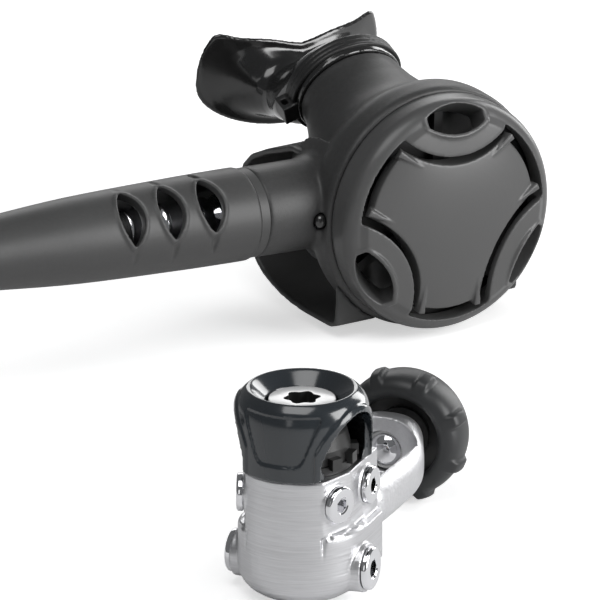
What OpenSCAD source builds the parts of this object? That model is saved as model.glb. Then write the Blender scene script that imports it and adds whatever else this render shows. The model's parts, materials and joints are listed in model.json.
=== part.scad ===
/* [Second stage case] */
// Largest outside diameter of the case
case_d = 77; // [76:0.5:80]
// Wall of the case
case_wall = 2.4; // [1.8:0.1:3]
// Tilt of the neck above level
neck_tilt = 22; // [19:1:26]
// Length of the neck from the middle of the case to its collar
neck_len = 41.5; // [40:0.5:45]
// Width of the collar that carries the mouthpiece
collar_w = 35.5; // [34:0.5:37]
// Height of the collar
collar_h = 31; // [29:0.5:33]
// Length of the spigot past the collar
spigot_len = 10; // [8:0.5:12]
// Distance of the valve axis behind the case's rim
valve_y = 17; // [16:0.25:18]
// Height of the valve axis above the middle of the case
valve_z = 1.4; // [1:0.1:2]
// Outside diameter of the inlet tube
inlet_d = 28; // [27:0.5:29]
// Distance of the inlet tube's end from the middle of the case
inlet_reach = 57; // [55:0.5:60]

/* [Cover and button] */
// Step in from the case's edge to the front cover
cover_step = 1.5; // [1.25:0.25:3]
// Depth of the cover's straight rim
cover_rim = 6; // [5:0.25:8]
// Height of the cover's dome above its rim
cover_dome = 9; // [7:0.25:11]
// Wall of the cover
cover_wall = 2; // [1.6:0.1:2.4]
// Radius that the three arms of the button's opening reach
opening_r = 33; // [32.4:0.2:33.4]
// Distance of each lobe's inner edge from the middle
lobe_r = 20.5; // [19:0.25:22]
// Gap between the button and the lobes
button_gap = 2.2; // [1:0.1:2.6]
// Gap at the ends of the button's arms
arm_gap = 3.2; // [2:0.1:3.6]
// Length of each water port
port_len = 24; // [20:0.5:26]
// Width of each water port
port_w = 9.6; // [8:0.2:11]
// Travel of the button
button_travel = 3.5; // [2.5:0.1:3.8]

/* [Demand valve] */
// Outside diameter of the valve barrel
barrel_d = 15; // [14:0.2:16]
// Bore of the valve barrel
barrel_bore = 11; // [10.4:0.1:11.4]
// Diameter of the poppet's stem
stem_d = 3.6; // [3:0.1:4]
// Diameter of the stiff centre of the diaphragm
disc_d = 31; // [28:0.5:34]
// Diameter of the exhaust valve
exhaust_d = 23; // [20:0.5:24]

/* [Mouthpiece] */
// Wall of the mouthpiece
mouthpiece_wall = 1.8; // [1.4:0.1:2.2]
// Width of the mouthpiece's flange
flange_w = 66; // [60:1:70]
// Height of the mouthpiece's flange
flange_h = 27; // [25:0.5:29]
// Width of the tie band
tie_w = 4.4; // [3.5:0.1:5.5]

/* [Hose] */
// Outside diameter of the hose
hose_d = 12; // [11:0.25:12.5]
// Outside diameter of the hose protector at the case
protector_d = 29; // [28:0.25:30]
// Outside diameter of the hose protector at its far end
protector_tip_d = 21; // [19:0.5:23]
// Length of the hose protector
protector_len = 100; // [95:1:105]
// Diameter of the crimped ferrules
ferrule_d = 16; // [15:0.25:16.5]
// Width across the flats of the hose's hexagons
hex_af = 17; // [16.5:0.1:17.5]
// Diameter of the thread on the hose's end fitting
fitting_d = 9.52; // [9:0.01:10]
// Radius of the coil's first turn
coil_r = 58; // [56:0.5:62]
// Distance between the coil's turns
coil_pitch = 18.4; // [18.2:0.2:19.2]

/* [First stage] */
// Radius of the metal body
body_r = 19; // [18.5:0.1:19.5]
// Height of the seam between the body and its cap
seam_z = 40.5; // [40.25:0.25:42]
// Height of the cap's rim
top_z = 64; // [63:0.25:66]
// Outside diameter of the cap
cap_d = 40.8; // [40:0.2:41.6]
// Diameter of the adjusting screw's disc
adjuster_d = 20; // [18:0.2:20.6]
// Turn of the yoke away from the second stage's width
yoke_turn = 37; // [33:1:39]
// Height of the yoke's axis
yoke_z = 20; // [19.5:0.25:20.5]
// Inside width between the yoke's arms
yoke_gap = 27.2; // [26:0.2:28]
// Distance of the seat's face from the body's axis
seat_u = 29.5; // [29:0.25:31]
// Distance of the screw's tip from the body's axis
screw_tip_u = 67; // [66:0.25:67.5]
// Diameter of the yoke screw
screw_d = 10; // [9.5:0.1:10.5]
// Diameter of the knob
knob_d = 39; // [37:0.5:40]
// Width of the knob
knob_w = 17; // [15:0.5:19]
// Diameter of the low-pressure plugs' heads
low_plug_d = 11.4; // [11:0.1:12]
// Diameter of the high-pressure plugs' heads
high_plug_d = 13; // [12:0.1:13.4]

/* [Hidden] */
$fn = 64;

// Clearances
running = 0.06;
fit = 0.15;
loose = 0.3;

// Places: the origin is the middle of the first stage's foot, on the surface
case_r = case_d / 2;
second_x = 155;
second_y = 172;
second_z = case_r;
second_roll = 2.5;      // the second stage leans, so that its hose leaves a little upwards

// Rings of points, and a skin through them
function ring(c, a, b, ra, rb, n = 32) =
    [for (i = [0 : n - 1]) c + a * ra * cos(i * 360 / n) + b * rb * sin(i * 360 / n)];
function squircle(t, p) = let (c = cos(t), s = sin(t)) [sign(c) * pow(abs(c), 2 / p), sign(s) * pow(abs(s), 2 / p)];
function box_ring(c, a, b, ra, rb, p = 3, n = 32) =
    [for (i = [0 : n - 1]) let (q = squircle(i * 360 / n, p)) c + a * ra * q[0] + b * rb * q[1]];
module skin(rings, closed = false) {
    n = len(rings[0]);
    m = len(rings);
    last = closed ? m - 1 : m - 2;
    sides = [for (j = [0 : last], i = [0 : n - 1])
        let (p = j * n + i, q = j * n + (i + 1) % n, k = ((j + 1) % m) * n)
        each [[p, k + (i + 1) % n, q], [p, k + i, k + (i + 1) % n]]];
    ends = closed ? [] : [for (i = [1 : n - 2]) each [[0, i, i + 1], [(m - 1) * n, (m - 1) * n + i + 1, (m - 1) * n + i]]];
    polyhedron([for (r = rings) each r], concat(sides, ends));
}

// A tube along a path, with frames carried from ring to ring
function unit(v) = v / norm(v);
function heading(p, i) = unit(p[min(i + 1, len(p) - 1)] - p[max(i - 1, 0)]);
function carried(p, i, a) = unit(a - heading(p, i) * (a * heading(p, i)));
function frames(p, i, a) = i >= len(p) ? [] : let (b = carried(p, i, a)) concat([b], frames(p, i + 1, b));
function tube_rings(p, r, n, up) = let (f = frames(p, 0, up))
    [for (i = [0 : len(p) - 1]) ring(p[i], f[i], cross(heading(p, i), f[i]), r, r, n)];
module tube(p, r, n, up = [0, 0, 1]) {
    skin(tube_rings(p, r, n, up));
}

// A wound spring along Z: closed ends, even turns between
function helix(r, h, turns, n) =
    [for (i = [0 : turns * n]) [r * cos(i * 360 / n), r * sin(i * 360 / n), h * i / (turns * n)]];
module spring(r, wire_r, h, turns) {
    translate([0, 0, wire_r]) tube(helix(r, h - 2 * wire_r, turns, 12), wire_r, 6);
}

module along_y() { rotate([-90, 0, 0]) children(); }
module along_x() { rotate([0, 90, 0]) children(); }
module pipe(ro, ri, h) {
    difference() {
        cylinder(r = ro, h = h);
        translate([0, 0, -1]) cylinder(r = ri, h = h + 2);
    }
}
module second() { translate([second_x, second_y, second_z]) rotate([0, second_roll, 0]) children(); }
function from_second(p) = [second_x, second_y, second_z]
    + [p[0] * cos(second_roll) + p[2] * sin(second_roll), p[1], p[2] * cos(second_roll) - p[0] * sin(second_roll)];
// Frame of the demand valve: Z runs along the barrel, away from the hose
module on_valve() { second() translate([0, valve_y, valve_z]) along_x() children(); }

// ---- Case ----
neck_dir = [0, cos(neck_tilt), sin(neck_tilt)];
neck_up = [0, -sin(neck_tilt), cos(neck_tilt)];
neck_base = [0, 10, 7];
collar_c = neck_base + neck_dir * neck_len;
spigot_step = 1.5;
seat_y = 3;           // the diaphragm's ledge
rim_drop = 0.8;
ledge_r = case_r - rim_drop - case_wall - 3.6;
// Stations of the body: y, z, half height, half width, tilt
function stations() = [
    [0, 0, case_r - rim_drop, case_r - rim_drop, 0], [4, 0, case_r, case_r, 0], [9, 0, case_r, case_r, 0],
    [14, 1, case_r - 2.4, case_r - 2.4, 2], [20, 3, case_r - 6.4, case_r - 6.4, neck_tilt * 0.25],
    [26.5, 6.8, case_r - 11.2, case_r - 10.6, neck_tilt * 0.5], [33, 11.8, case_r - 16, case_r - 14.2, neck_tilt * 0.75],
    [41, 18.2, collar_h / 2 + 2, collar_w / 2 + 2.2, neck_tilt * 0.95]];
function body_ring(s, grow) = let (t = s[4])
    ring([0, s[0], s[1]], [0, -sin(t), cos(t)], [1, 0, 0], s[2] + grow, s[3] + grow);
function collar_ring(d, grow) =
    ring(collar_c + neck_dir * d, neck_up, [1, 0, 0], collar_h / 2 + grow, collar_w / 2 + grow);
function outer_rings(grow) = concat([for (s = stations()) body_ring(s, grow)],
    [collar_ring(-2, grow), collar_ring(1, grow)]);
module case_solid(grow) { skin(outer_rings(grow)); }
exhaust_at = [0, case_r / 2 + 2.25, -case_r / 2 - 1.25];
module at_exhaust() { translate(exhaust_at) rotate([-135, 0, 0]) children(); }
boss_r = exhaust_d / 2 + 2;
plate_t = 1.6;
spoke_holes = 6;
module case() {
    w = case_wall;
    color([0.2, 0.2, 0.21]) second() difference() {
        union() {
            skin(concat(outer_rings(0),
                [collar_ring(1, -spigot_step), collar_ring(spigot_len, -spigot_step), collar_ring(spigot_len, -spigot_step - w)],
                [collar_ring(-2, -spigot_step - w)],
                [for (i = [len(stations()) - 1 : -1 : 0]) body_ring(stations()[i], -w)]), closed = true);
            along_y() translate([0, 0, seat_y]) pipe(case_r - rim_drop - w / 2, ledge_r, 2.2);
            translate([-inlet_reach, valve_y, valve_z]) along_x() cylinder(d = inlet_d, h = inlet_reach - case_r + 11.5);
            translate([barrel_to - 3, valve_y, valve_z]) along_x() cylinder(r = barrel_d / 2 + 2.5, h = 4.4);
            at_exhaust() translate([0, 0, -3]) cylinder(r = boss_r, h = 6);
        }
        translate([-inlet_reach - 1, valve_y, valve_z]) along_x()
            cylinder(d = barrel_d + 2 * running, h = inlet_reach + 1 + barrel_to + fit);
        translate([-inlet_reach - 1, valve_y, valve_z]) along_x() cylinder(r = nut_room_r, h = 1 + nut_room);
        translate([-case_r, pin_y, 0]) sphere(r = pin_r + running);
        at_exhaust() translate([0, 0, 3]) cylinder(r = exhaust_d / 2 + 0.8, h = 12);
        at_exhaust() translate([0, 0, -4]) cylinder(r = boss_r - 2.4, h = 7 - plate_t);
        at_exhaust() translate([0, 0, -4]) for (i = [0 : spoke_holes - 1])
            rotate(i * 360 / spoke_holes) translate([exhaust_d * 0.29, 0, 0]) cylinder(r = exhaust_d * 0.11, h = 9);
        at_exhaust() translate([0, 0, -4]) cylinder(r = exhaust_stem_r + running, h = 9);
    }
}
exhaust_stem_r = 1.4;
nut_room_r = 10.6;
nut_room = 4;
pin_y = 4;
pin_r = 2.4;
module exhaust_valve() {
    color([0.12, 0.12, 0.13]) second() at_exhaust() {
        translate([0, 0, 3]) difference() {
            cylinder(r = exhaust_d / 2, h = 1.2);
            translate([0, 0, 0.9]) pipe(exhaust_d / 2 - 1, 3, 1);
        }
        translate([0, 0, -2.4]) cylinder(r = exhaust_stem_r, h = 6);
        translate([0, 0, -2.4]) cylinder(r1 = exhaust_stem_r, r2 = exhaust_stem_r + 0.9, h = 1.2);
        translate([0, 0, -1.2]) cylinder(r = exhaust_stem_r + 0.9, h = 3 - plate_t + 1.2 - 0.05);
    }
}

// ---- Exhaust tee: a hood round the lower back of the case, open to both sides ----
tee_half = 33;
tee_wall = 1.8;
tee_low = -case_r + 3;
tee_outline = [[3.6, tee_low + 1.6], [14, tee_low], [30, tee_low + 0.8], [42, tee_low + 3.6], [51, -27], [57.5, -16],
    [60.5, -2], [53.5, 7.5], [36, 14.8], [25.5, 17.3], [8, 12], [3, 2], [2.6, -16]];
function loop_at(p, i, t) = let (n = len(p), a = p[(i + n - 1) % n], b = p[i], c = p[(i + 1) % n], d = p[(i + 2) % n])
    b + t * ((c - a) / 2 + t * ((a - 2.5 * b + 2 * c - d / 2) + t * (-a / 2 + 1.5 * b - 1.5 * c + d / 2)));
function smooth_loop(p, k) = [for (i = [0 : len(p) - 1], j = [0 : k - 1]) loop_at(p, i, j / k)];
function inward(p, d) = let (n = len(p)) [for (i = [0 : n - 1])
    let (t = unit(p[(i + 1) % n] - p[(i + n - 1) % n])) p[i] + d * [-t[1], t[0]]];
// The outline stays above the surface where the hood stands on it
function kept_up(p, low) = [for (q = p) [q[0], max(q[1], low)]];
function tee_loop(d) = inward(kept_up(smooth_loop(tee_outline, 2), tee_low), d);
module tee_prism(half, d) {
    rotate([90, 0, 90]) translate([0, 0, -half]) linear_extrude(2 * half) polygon(tee_loop(d));
}
module exhaust_tee() {
    color([0.17, 0.17, 0.18]) second() difference() {
        rotate([0, -second_roll, 0]) {
            tee_prism(tee_half, 0);
            // Foot the second stage stands on
            translate([-16, 20, -case_r]) cube([32, 14, 6]);
        }
        rotate([0, -second_roll, 0]) tee_prism(tee_half + 1, tee_wall);
        case_solid(fit);
        at_exhaust() translate([0, 0, -1]) cylinder(r = boss_r + fit, h = 6);
        translate([0, valve_y, valve_z]) along_x() cylinder(d = inlet_d + 2 * fit, h = 3 * tee_half, center = true);
    }
}

// ---- Mouthpiece ----
sleeve_len = 9;
mouth_tilt = 6;
mouth_dir = [0, cos(mouth_tilt), sin(mouth_tilt)];
mouth_up = [0, -sin(mouth_tilt), cos(mouth_tilt)];
flange_c = collar_c + [0, 30.5, -1.6];
flange_bow = 7;
flange_smile = 4;
tab_len = 13;
tab_w = 13;
tab_t = 3.6;
tab_x = 21;
ridge_h = 8.4;
function bowed(r) = [for (p = r) p + [0, flange_bow, flange_smile] * pow(2 * p[0] / flange_w, 2) - [0, 0, flange_smile]];
function flange_ring(d, grow_h, grow_w) =
    bowed(box_ring(flange_c + mouth_dir * d, mouth_up, [1, 0, 0], flange_h / 2 + grow_h, flange_w / 2 + grow_w, 3));
function dropped(r) = [for (p = r) p - [0, 0, flange_smile]];
function throat_ring(d, ra, rb) = box_ring(flange_c + mouth_dir * d, mouth_up, [1, 0, 0], ra, rb, 2.3);
module mouthpiece() {
    w = mouthpiece_wall;
    g = -spigot_step + fit;
    color([0.06, 0.06, 0.06]) second() {
        skin([collar_ring(1 + fit, g + w), collar_ring(sleeve_len, g + w), throat_ring(-14, 12, 17.5),
            dropped(throat_ring(-5, 10, 16.5)), flange_ring(-1, -3, -9), flange_ring(0, 0, 0), flange_ring(1.6, 0, 0),
            flange_ring(1.6, -4, -14), dropped(throat_ring(1.6, 7, 13)), dropped(throat_ring(-5, 10 - w, 16.5 - w)),
            throat_ring(-14, 12 - w, 17.5 - w), collar_ring(spigot_len + fit, g), collar_ring(1 + fit, g)],
            closed = true);
        // Bite tabs, with a ridge behind the teeth
        for (side = [-1, 1]) translate(flange_c + [side * tab_x, 2, -2.2]) rotate([mouth_tilt, 0, side * -6]) {
            translate([-tab_w / 2, 0, -tab_t / 2]) cube([tab_w, tab_len, tab_t]);
            translate([-tab_w / 2, tab_len - 3, -ridge_h / 2]) cube([tab_w, 3, ridge_h]);
        }
    }
}
function ellipse(ra, rb, n = 32) = [for (i = [0 : n - 1]) [rb * sin(i * 360 / n), ra * cos(i * 360 / n)]];
tie_t = 1.2;
module on_neck(d) { translate(collar_c + neck_dir * d) rotate([neck_tilt - 90, 0, 0]) children(); }
module mouthpiece_tie() {
    inner = -spigot_step + fit + mouthpiece_wall + 0.1;
    color([0.1, 0.1, 0.1]) second() on_neck(3) difference() {
        union() {
            linear_extrude(tie_w) polygon(ellipse(collar_h / 2 + inner + tie_t, collar_w / 2 + inner + tie_t));
            translate([-collar_w / 2 - inner - 4.6, -3.5, -0.8]) cube([6, 7, tie_w + 1.6]);
        }
        translate([0, 0, -2]) linear_extrude(tie_w + 4) polygon(ellipse(collar_h / 2 + inner, collar_w / 2 + inner));
    }
}

// ---- Front cover and button ----
cover_r = case_r - cover_step;
dome_y = cover_rim + cover_dome;
shoulder = 5;
// Half profile of the dome, from the rim round the shoulder to the middle
function dome_profile(inset) = let (r = cover_r - inset, s = shoulder - inset * 0.5)
    concat([for (a = [0 : 15 : 75]) [r - s + s * cos(a), cover_rim + s * sin(a) - inset * 0.2]],
        [for (q = [0.72, 0.56, 0.4, 0.24, 0]) [r * q, dome_y - inset - (cover_dome - s) * pow(q, 2.4)]]);
// Front-facing frame: Z runs forward out of the cover
module facing() { second() rotate([90, 0, 0]) children(); }
lobe_angles = [90, -30, 210];
lobe_span = 34;
lobe_d = (pow(opening_r, 2) - pow(lobe_r, 2)) / (2 * (opening_r * cos(lobe_span) - lobe_r));
module opening_2d(gap, arm) {
    difference() {
        circle(r = opening_r - arm);
        for (a = lobe_angles) rotate(a) translate([lobe_d, 0]) circle(r = lobe_d - lobe_r + gap);
    }
}
// An eye: two arcs that meet in points
module eye_2d(grow) {
    big = (pow(port_len / 2, 2) + pow(port_w / 2, 2)) / port_w;
    intersection() {
        translate([big - port_w / 2, 0]) circle(r = big + grow);
        translate([port_w / 2 - big, 0]) circle(r = big + grow);
    }
}
port_tilt = 34;
lip = 1.3;
lip_h = 2.1;
skirt_t = 1.4;
module at_port(a) { rotate(a) translate([cover_r - 6.2, 0, cover_rim + 3.4]) rotate([0, port_tilt, 0]) children(); }
module front_cover() {
    color([0.24, 0.24, 0.25]) facing() difference() {
        union() {
            difference() {
                rotate_extrude() polygon(concat([[0, 0], [cover_r, 0]], dome_profile(0)));
                translate([0, 0, -0.01]) rotate_extrude()
                    polygon(concat([[0, 0], [cover_r - cover_wall, 0]], dome_profile(cover_wall)));
            }
            // Skirt that makes the opening's sides deep
            translate([0, 0, cover_rim - 1]) pipe(opening_r + skirt_t, opening_r - skirt_t, 4);
            for (a = lobe_angles) at_port(a) linear_extrude(lip_h) eye_2d(lip);
        }
        translate([0, 0, 0.8]) linear_extrude(dome_y) opening_2d(0, 0);
        for (a = lobe_angles) at_port(a) translate([0, 0, -5]) linear_extrude(12) eye_2d(0);
        rotate_extrude() polygon(concat([[0, -1], [cover_r - cover_wall, -1], [cover_r - cover_wall, cover_rim - 1]],
            [[cover_r - cover_wall - 5, cover_rim + 0.6], [0, cover_rim + 0.6]]));
    }
}
button_t = 2.4;
hub_bore = 2.6;
button_top = dome_y + 0.2;
button_hub_r = 5.2;
button_hub_t = 3;
module purge_button() {
    color([0.26, 0.26, 0.27]) facing() {
        intersection() {
            translate([0, 0, cover_rim + 1]) linear_extrude(dome_y) opening_2d(button_gap, arm_gap);
            difference() {
                rotate_extrude() polygon(concat([[0, 0], [cover_r, 0]], dome_profile(-0.2)));
                difference() {
                    rotate_extrude() polygon(concat([[0, -1], [cover_r, -1]], dome_profile(button_t)));
                    // Side wall round the button's edge
                    difference() {
                        linear_extrude(dome_y) opening_2d(button_gap, arm_gap);
                        translate([0, 0, -1]) linear_extrude(dome_y + 2) opening_2d(button_gap + skirt_t, arm_gap + skirt_t);
                    }
                }
            }
        }
        translate([0, 0, -1.3]) cylinder(r = hub_bore - running, h = button_top - button_t + 1.6);
        translate([0, 0, button_top - button_t - button_hub_t]) cylinder(r = button_hub_r, h = button_hub_t + 0.4);
    }
}
// The spring is as long as the button's travel and its own closed height
spring_wire = 0.4;
spring_turns = 2.5;
spring_closed = 2 * spring_wire * (spring_turns + 1) + loose;
hub_h = button_top - button_t - button_hub_t - button_travel - spring_closed - 2 * loose;
module purge_spring() {
    color([0.75, 0.75, 0.76]) facing() translate([0, 0, hub_h + loose])
        spring(4, spring_wire, button_travel + spring_closed, spring_turns);
}
module retaining_ring() {
    color([0.3, 0.3, 0.31]) facing() difference() {
        union() {
            translate([0, 0, -1.4]) pipe(cover_r - cover_wall - fit, ledge_r, 2.4);
            for (a = lobe_angles) rotate(a) translate([0, -1.5, -1.1]) cube([ledge_r + 1, 3, 2.1]);
            translate([0, 0, -1.1]) cylinder(r = 6, h = 1.1 + hub_h);
        }
        translate([0, 0, -3]) cylinder(r = hub_bore, h = 12);
    }
}
disc_r = disc_d / 2;
membrane = 0.8;
module diaphragm() {
    color([0.5, 0.5, 0.5]) facing() rotate_extrude() polygon([[disc_r - 2, -1.7], [ledge_r - 1, -1.7], [ledge_r, -1.4 - 0.05],
        [cover_r - cover_wall - fit, -1.4 - 0.05], [cover_r - cover_wall - fit, -seat_y], [ledge_r + 0.4, -seat_y],
        [ledge_r - 0.6, -1.7 - membrane], [disc_r - 2, -1.7 - membrane]]);
}
module diaphragm_disc() {
    color([0.8, 0.8, 0.8]) facing() {
        translate([0, 0, -1.7 - membrane - 0.9]) cylinder(r = disc_r, h = 0.9);
        translate([0, 0, -1.7 - membrane]) cylinder(r = disc_r - 2 - fit, h = membrane);
    }
}
module cover_lock_pin() {
    color([0.05, 0.05, 0.05]) second() translate([-case_r, pin_y, 0]) sphere(r = pin_r);
}

// ---- Demand valve: distances run along the barrel from the middle of the case ----
barrel_from = -inlet_reach + 5;
barrel_to = case_r - 8.5;
guide_from = -8;
guide_t = 2;
thread_r = 7.1;
thread_len = 10;
bore_r = barrel_bore / 2;
stem_r = stem_d / 2;
lever_x = 10;
lever_y = -7.4;       // the lever's axis, in front of the barrel's
window = 10.5;
module valve_barrel() {
    color([0.72, 0.72, 0.7]) on_valve() difference() {
        union() {
            translate([0, 0, barrel_from]) cylinder(d = barrel_d, h = barrel_to - barrel_from);
            translate([0, 0, barrel_from - thread_len]) cylinder(r = thread_r, h = thread_len + 1);
        }
        translate([0, 0, barrel_from - thread_len - 1]) cylinder(r = thread_r - 2.6, h = thread_len + 4);
        translate([0, 0, barrel_from + 2]) cylinder(r = bore_r, h = guide_from - barrel_from - 2);
        translate([0, 0, guide_from - 1]) cylinder(r = stem_r + running, h = guide_t + 2);
        translate([0, 0, guide_from + guide_t]) cylinder(r = bore_r, h = 60);
        translate([-5, -barrel_d, lever_x - window * 0.6]) cube([10, barrel_d, window]);
        translate([0, 0, -1]) rotate([-90, 0, 0]) cylinder(r = 3.4, h = barrel_d);
    }
}
seat_x = barrel_from + 10.4;
module orifice() {
    color([0.85, 0.75, 0.5]) on_valve() difference() {
        union() {
            translate([0, 0, barrel_from + 2 + fit]) difference() {
                cylinder(r = bore_r - running, h = 8);
                translate([0, 0, 2.6]) pipe(bore_r + 1, bore_r - 1.5, 1.8);
            }
            translate([0, 0, barrel_from + 9]) cylinder(r1 = 3.4, r2 = 2.4, h = seat_x - 0.05 - barrel_from - 9);
        }
        translate([0, 0, barrel_from]) cylinder(r = 1.7, h = 12);
    }
}
module orifice_o_ring() {
    color([0.05, 0.05, 0.05]) on_valve() translate([0, 0, barrel_from + 2 + fit + 3.5])
        rotate_extrude() translate([bore_r - 0.75, 0]) circle(r = 0.7, $fn = 24);
}
nut_x = lever_x + 0.9;
module poppet() {
    color([0.75, 0.75, 0.76]) on_valve() {
        translate([0, 0, seat_x + 0.6]) difference() {
            union() {
                cylinder(r = bore_r - 0.2, h = 5);
                translate([0, 0, 5]) cylinder(r = stem_r + 1.2, h = 4);
            }
            translate([0, 0, -1]) cylinder(r = 3.6, h = 2.4);
        }
        translate([0, 0, seat_x + 6]) cylinder(r = stem_r, h = nut_x + 4 - seat_x - 6);
    }
}
module poppet_nut() {
    color([0.8, 0.8, 0.8]) on_valve() translate([0, 0, nut_x]) difference() {
        cylinder(r = stem_r + 1.7, h = 2.6, $fn = 6);
        translate([0, 0, -1]) cylinder(r = stem_r + 0.03, h = 5);
    }
}
module poppet_seat() {
    color([0.1, 0.1, 0.1]) on_valve() translate([0, 0, seat_x]) cylinder(r = 3.55, h = 1.95);
}
module poppet_spring() {
    color([0.78, 0.78, 0.78]) on_valve() translate([0, 0, seat_x + 5.8])
        spring(stem_r + 2.1, 0.5, guide_from - seat_x - 6, 7);
}
lever_t = 1.2;
lever_foot = 5;
tip_y = -valve_y + 1.7 + membrane + 0.9 + loose + 0.6;
module demand_lever() {
    arm = 13;
    color([0.82, 0.82, 0.8]) on_valve() {
        // Two feet reach into the barrel's window, either side of the stem
        for (side = [-1, 1]) translate([side * (stem_r + 1.5) - 0.6, lever_y, lever_x - lever_t / 2])
            cube([1.2, lever_foot, lever_t]);
        translate([0, lever_y, lever_x]) rotate([0, 90, 0]) cylinder(r = 0.8, h = 2 * (stem_r + 2.1), center = true);
        translate([0, tip_y, lever_x - arm]) rotate([0, 90, 0]) cylinder(r = 0.6, h = 6, center = true);
        rotate([0, 90, 0]) linear_extrude(5, center = true) polygon([[-lever_x, lever_y - 0.6], [-lever_x, lever_y + 0.6],
            [arm - lever_x, tip_y + 0.55], [arm - lever_x, tip_y - 0.55]]);
    }
}
module balance_cap() {
    color([0.2, 0.2, 0.2]) on_valve() translate([0, 0, barrel_to - 8]) {
        cylinder(r = bore_r - running, h = 7.6);
        translate([0, 0, -1.5]) cylinder(r = bore_r - 1.6, h = 1.6);
    }
}

// ---- Hose: runs away from the case along the valve's axis ----
hose_r = hose_d / 2;
collar_t = 3;
protector_from = inlet_reach + collar_t;
protector_to = protector_from + protector_len;
nut_from = -barrel_from + 3;
nut_len = 19;
ferrule_from = nut_from + nut_len + 2;
ferrule_len = 27;
ferrule_to = ferrule_from + ferrule_len;
hose_bore = hose_r - 2.6;
module off_hose(d) { second() translate([-d, valve_y, valve_z]) rotate([0, -90, 0]) children(); }
module inlet_collar() {
    color([0.2, 0.2, 0.2]) off_hose(inlet_reach) pipe(inlet_d / 2 - 0.1, 10.6, collar_t);
}
module hose_nut() {
    color([0.85, 0.85, 0.86]) off_hose(nut_from) difference() {
        intersection() {
            cylinder(r = hex_af / 2 / cos(30), h = nut_len - 4, $fn = 6);
            cylinder(r1 = hex_af / 2, r2 = hex_af / 2 + 16, h = 20);
        }
        translate([0, 0, -1]) cylinder(r = thread_r + 0.05, h = nut_len - 6);
        cylinder(r = 5 + running, h = nut_len);
    }
}
module hose_stem() {
    color([0.85, 0.85, 0.86]) off_hose(nut_from) difference() {
        union() {
            translate([0, 0, thread_len - 3]) cylinder(r = 6.2, h = 4.8);
            translate([0, 0, thread_len]) cylinder(r = 5, h = ferrule_from - nut_from - thread_len - 0.05);
            translate([0, 0, nut_len - 1.5]) cylinder(r = 7, h = ferrule_from - nut_from - nut_len + 1.45);
            translate([0, 0, thread_len]) cylinder(r = hose_bore - 0.02, h = ferrule_to - nut_from - thread_len - 3);
        }
        translate([0, 0, -1]) cylinder(r = 2, h = 60);
    }
}
module crimped(h) {
    rotate_extrude() polygon([[hose_r + 0.02, 1.2], [hose_r + 0.02, h], [ferrule_d / 2 - 0.5, h], [ferrule_d / 2, h - 1],
        [ferrule_d / 2, h * 0.78], [ferrule_d / 2 - 0.5, h * 0.72], [ferrule_d / 2 - 0.5, h * 0.56], [ferrule_d / 2, h * 0.5],
        [ferrule_d / 2 - 0.5, h * 0.44], [ferrule_d / 2 - 0.5, h * 0.28], [ferrule_d / 2, h * 0.22], [ferrule_d / 2, 1],
        [ferrule_d / 2 - 1, 0], [hose_bore, 0], [hose_bore, 1.2]]);
}
module hose_ferrule() {
    color([0.85, 0.85, 0.86]) off_hose(ferrule_from) crimped(ferrule_len);
}
slot_x = [17, 31, 45];
slot_w = 8.4;
slot_len = 18;
slot_turn = 40;
protector_wall = 2.4;
module hose_protector() {
    r0 = protector_d / 2;
    r1 = protector_tip_d / 2;
    l = protector_len;
    color([0.15, 0.15, 0.15]) off_hose(protector_from) difference() {
        rotate_extrude() polygon([[r0 - 0.8, 0], [r0, 0.8], [r0, 6], [r0 * 0.95 + r1 * 0.05, l * 0.25],
            [r0 * 0.72 + r1 * 0.28, l * 0.6], [r1 + 0.9, l * 0.88], [r1, l - 2], [r1 - 1.5, l], [hose_r + 0.25, l],
            [hose_r + 0.25, l * 0.62], [r0 - protector_wall - 2, l * 0.48], [r0 - protector_wall, l * 0.3],
            [r0 - protector_wall, 0]]);
        for (x = slot_x, half = [0, 180]) translate([0, 0, x]) rotate([0, 0, slot_turn + half]) rotate([90, 0, 0])
            linear_extrude(r0 + 2) slot_2d();
    }
}
module slot_2d() {
    big = (pow(slot_len / 2, 2) + pow(slot_w / 2, 2)) / slot_w;
    intersection() {
        translate([0, big - slot_w / 2]) circle(r = big);
        translate([0, slot_w / 2 - big]) circle(r = big);
    }
}
// The hose's own points, as run and rise from the protector's end
HOSE_POINTS = [[0, 0], [12, 0.5], [23.5, -0.2], [33, -2.7], [41.5, -6.7], [49, -12], [58.5, -20]];
hose_exit = from_second([-protector_to, valve_y, valve_z]);
hose_start = from_second([-ferrule_to, valve_y, valve_z]);
function hose_path() = concat([for (i = [0 : 2]) hose_start + (hose_exit - hose_start) * i / 3],
    [for (q = HOSE_POINTS) hose_exit + [-q[0], 0, q[1]]]);
module hose() {
    color([0.13, 0.13, 0.13]) tube(hose_path(), hose_r, 12);
}
// The coil: a straight lead, a curve down to the surface, then turns that widen evenly
dip_from = HOSE_POINTS[len(HOSE_POINTS) - 1];
dip_last = HOSE_POINTS[len(HOSE_POINTS) - 2];
dip = atan2(dip_last[1] - dip_from[1], dip_from[0] - dip_last[0]);
coil_start = hose_exit + [-dip_from[0], 0, dip_from[1]];
lead = hose_d;
drop_left = coil_start[2] - lead * sin(dip) - hose_r;
dip_r = drop_left / (1 - cos(dip));
land = coil_start + [-lead * cos(dip) - dip_r * sin(dip), 0, -lead * sin(dip) - drop_left];
coil_turns = 1.25;
rings_a_turn = 24;
coil_mid = [land[0], land[1] + coil_r, hose_r];
end_rise = hex_af / 2 - hose_r;
end_r = coil_r + coil_pitch * coil_turns;
function coil_point(t) = let (a = -90 - 360 * t, r = coil_r + coil_pitch * t,
    up = end_rise * pow(max(0, (t - coil_turns + 0.25) / 0.25), 2) * (3 - 2 * max(0, (t - coil_turns + 0.25) / 0.25)))
    coil_mid + [r * cos(a), r * sin(a), up];
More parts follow.
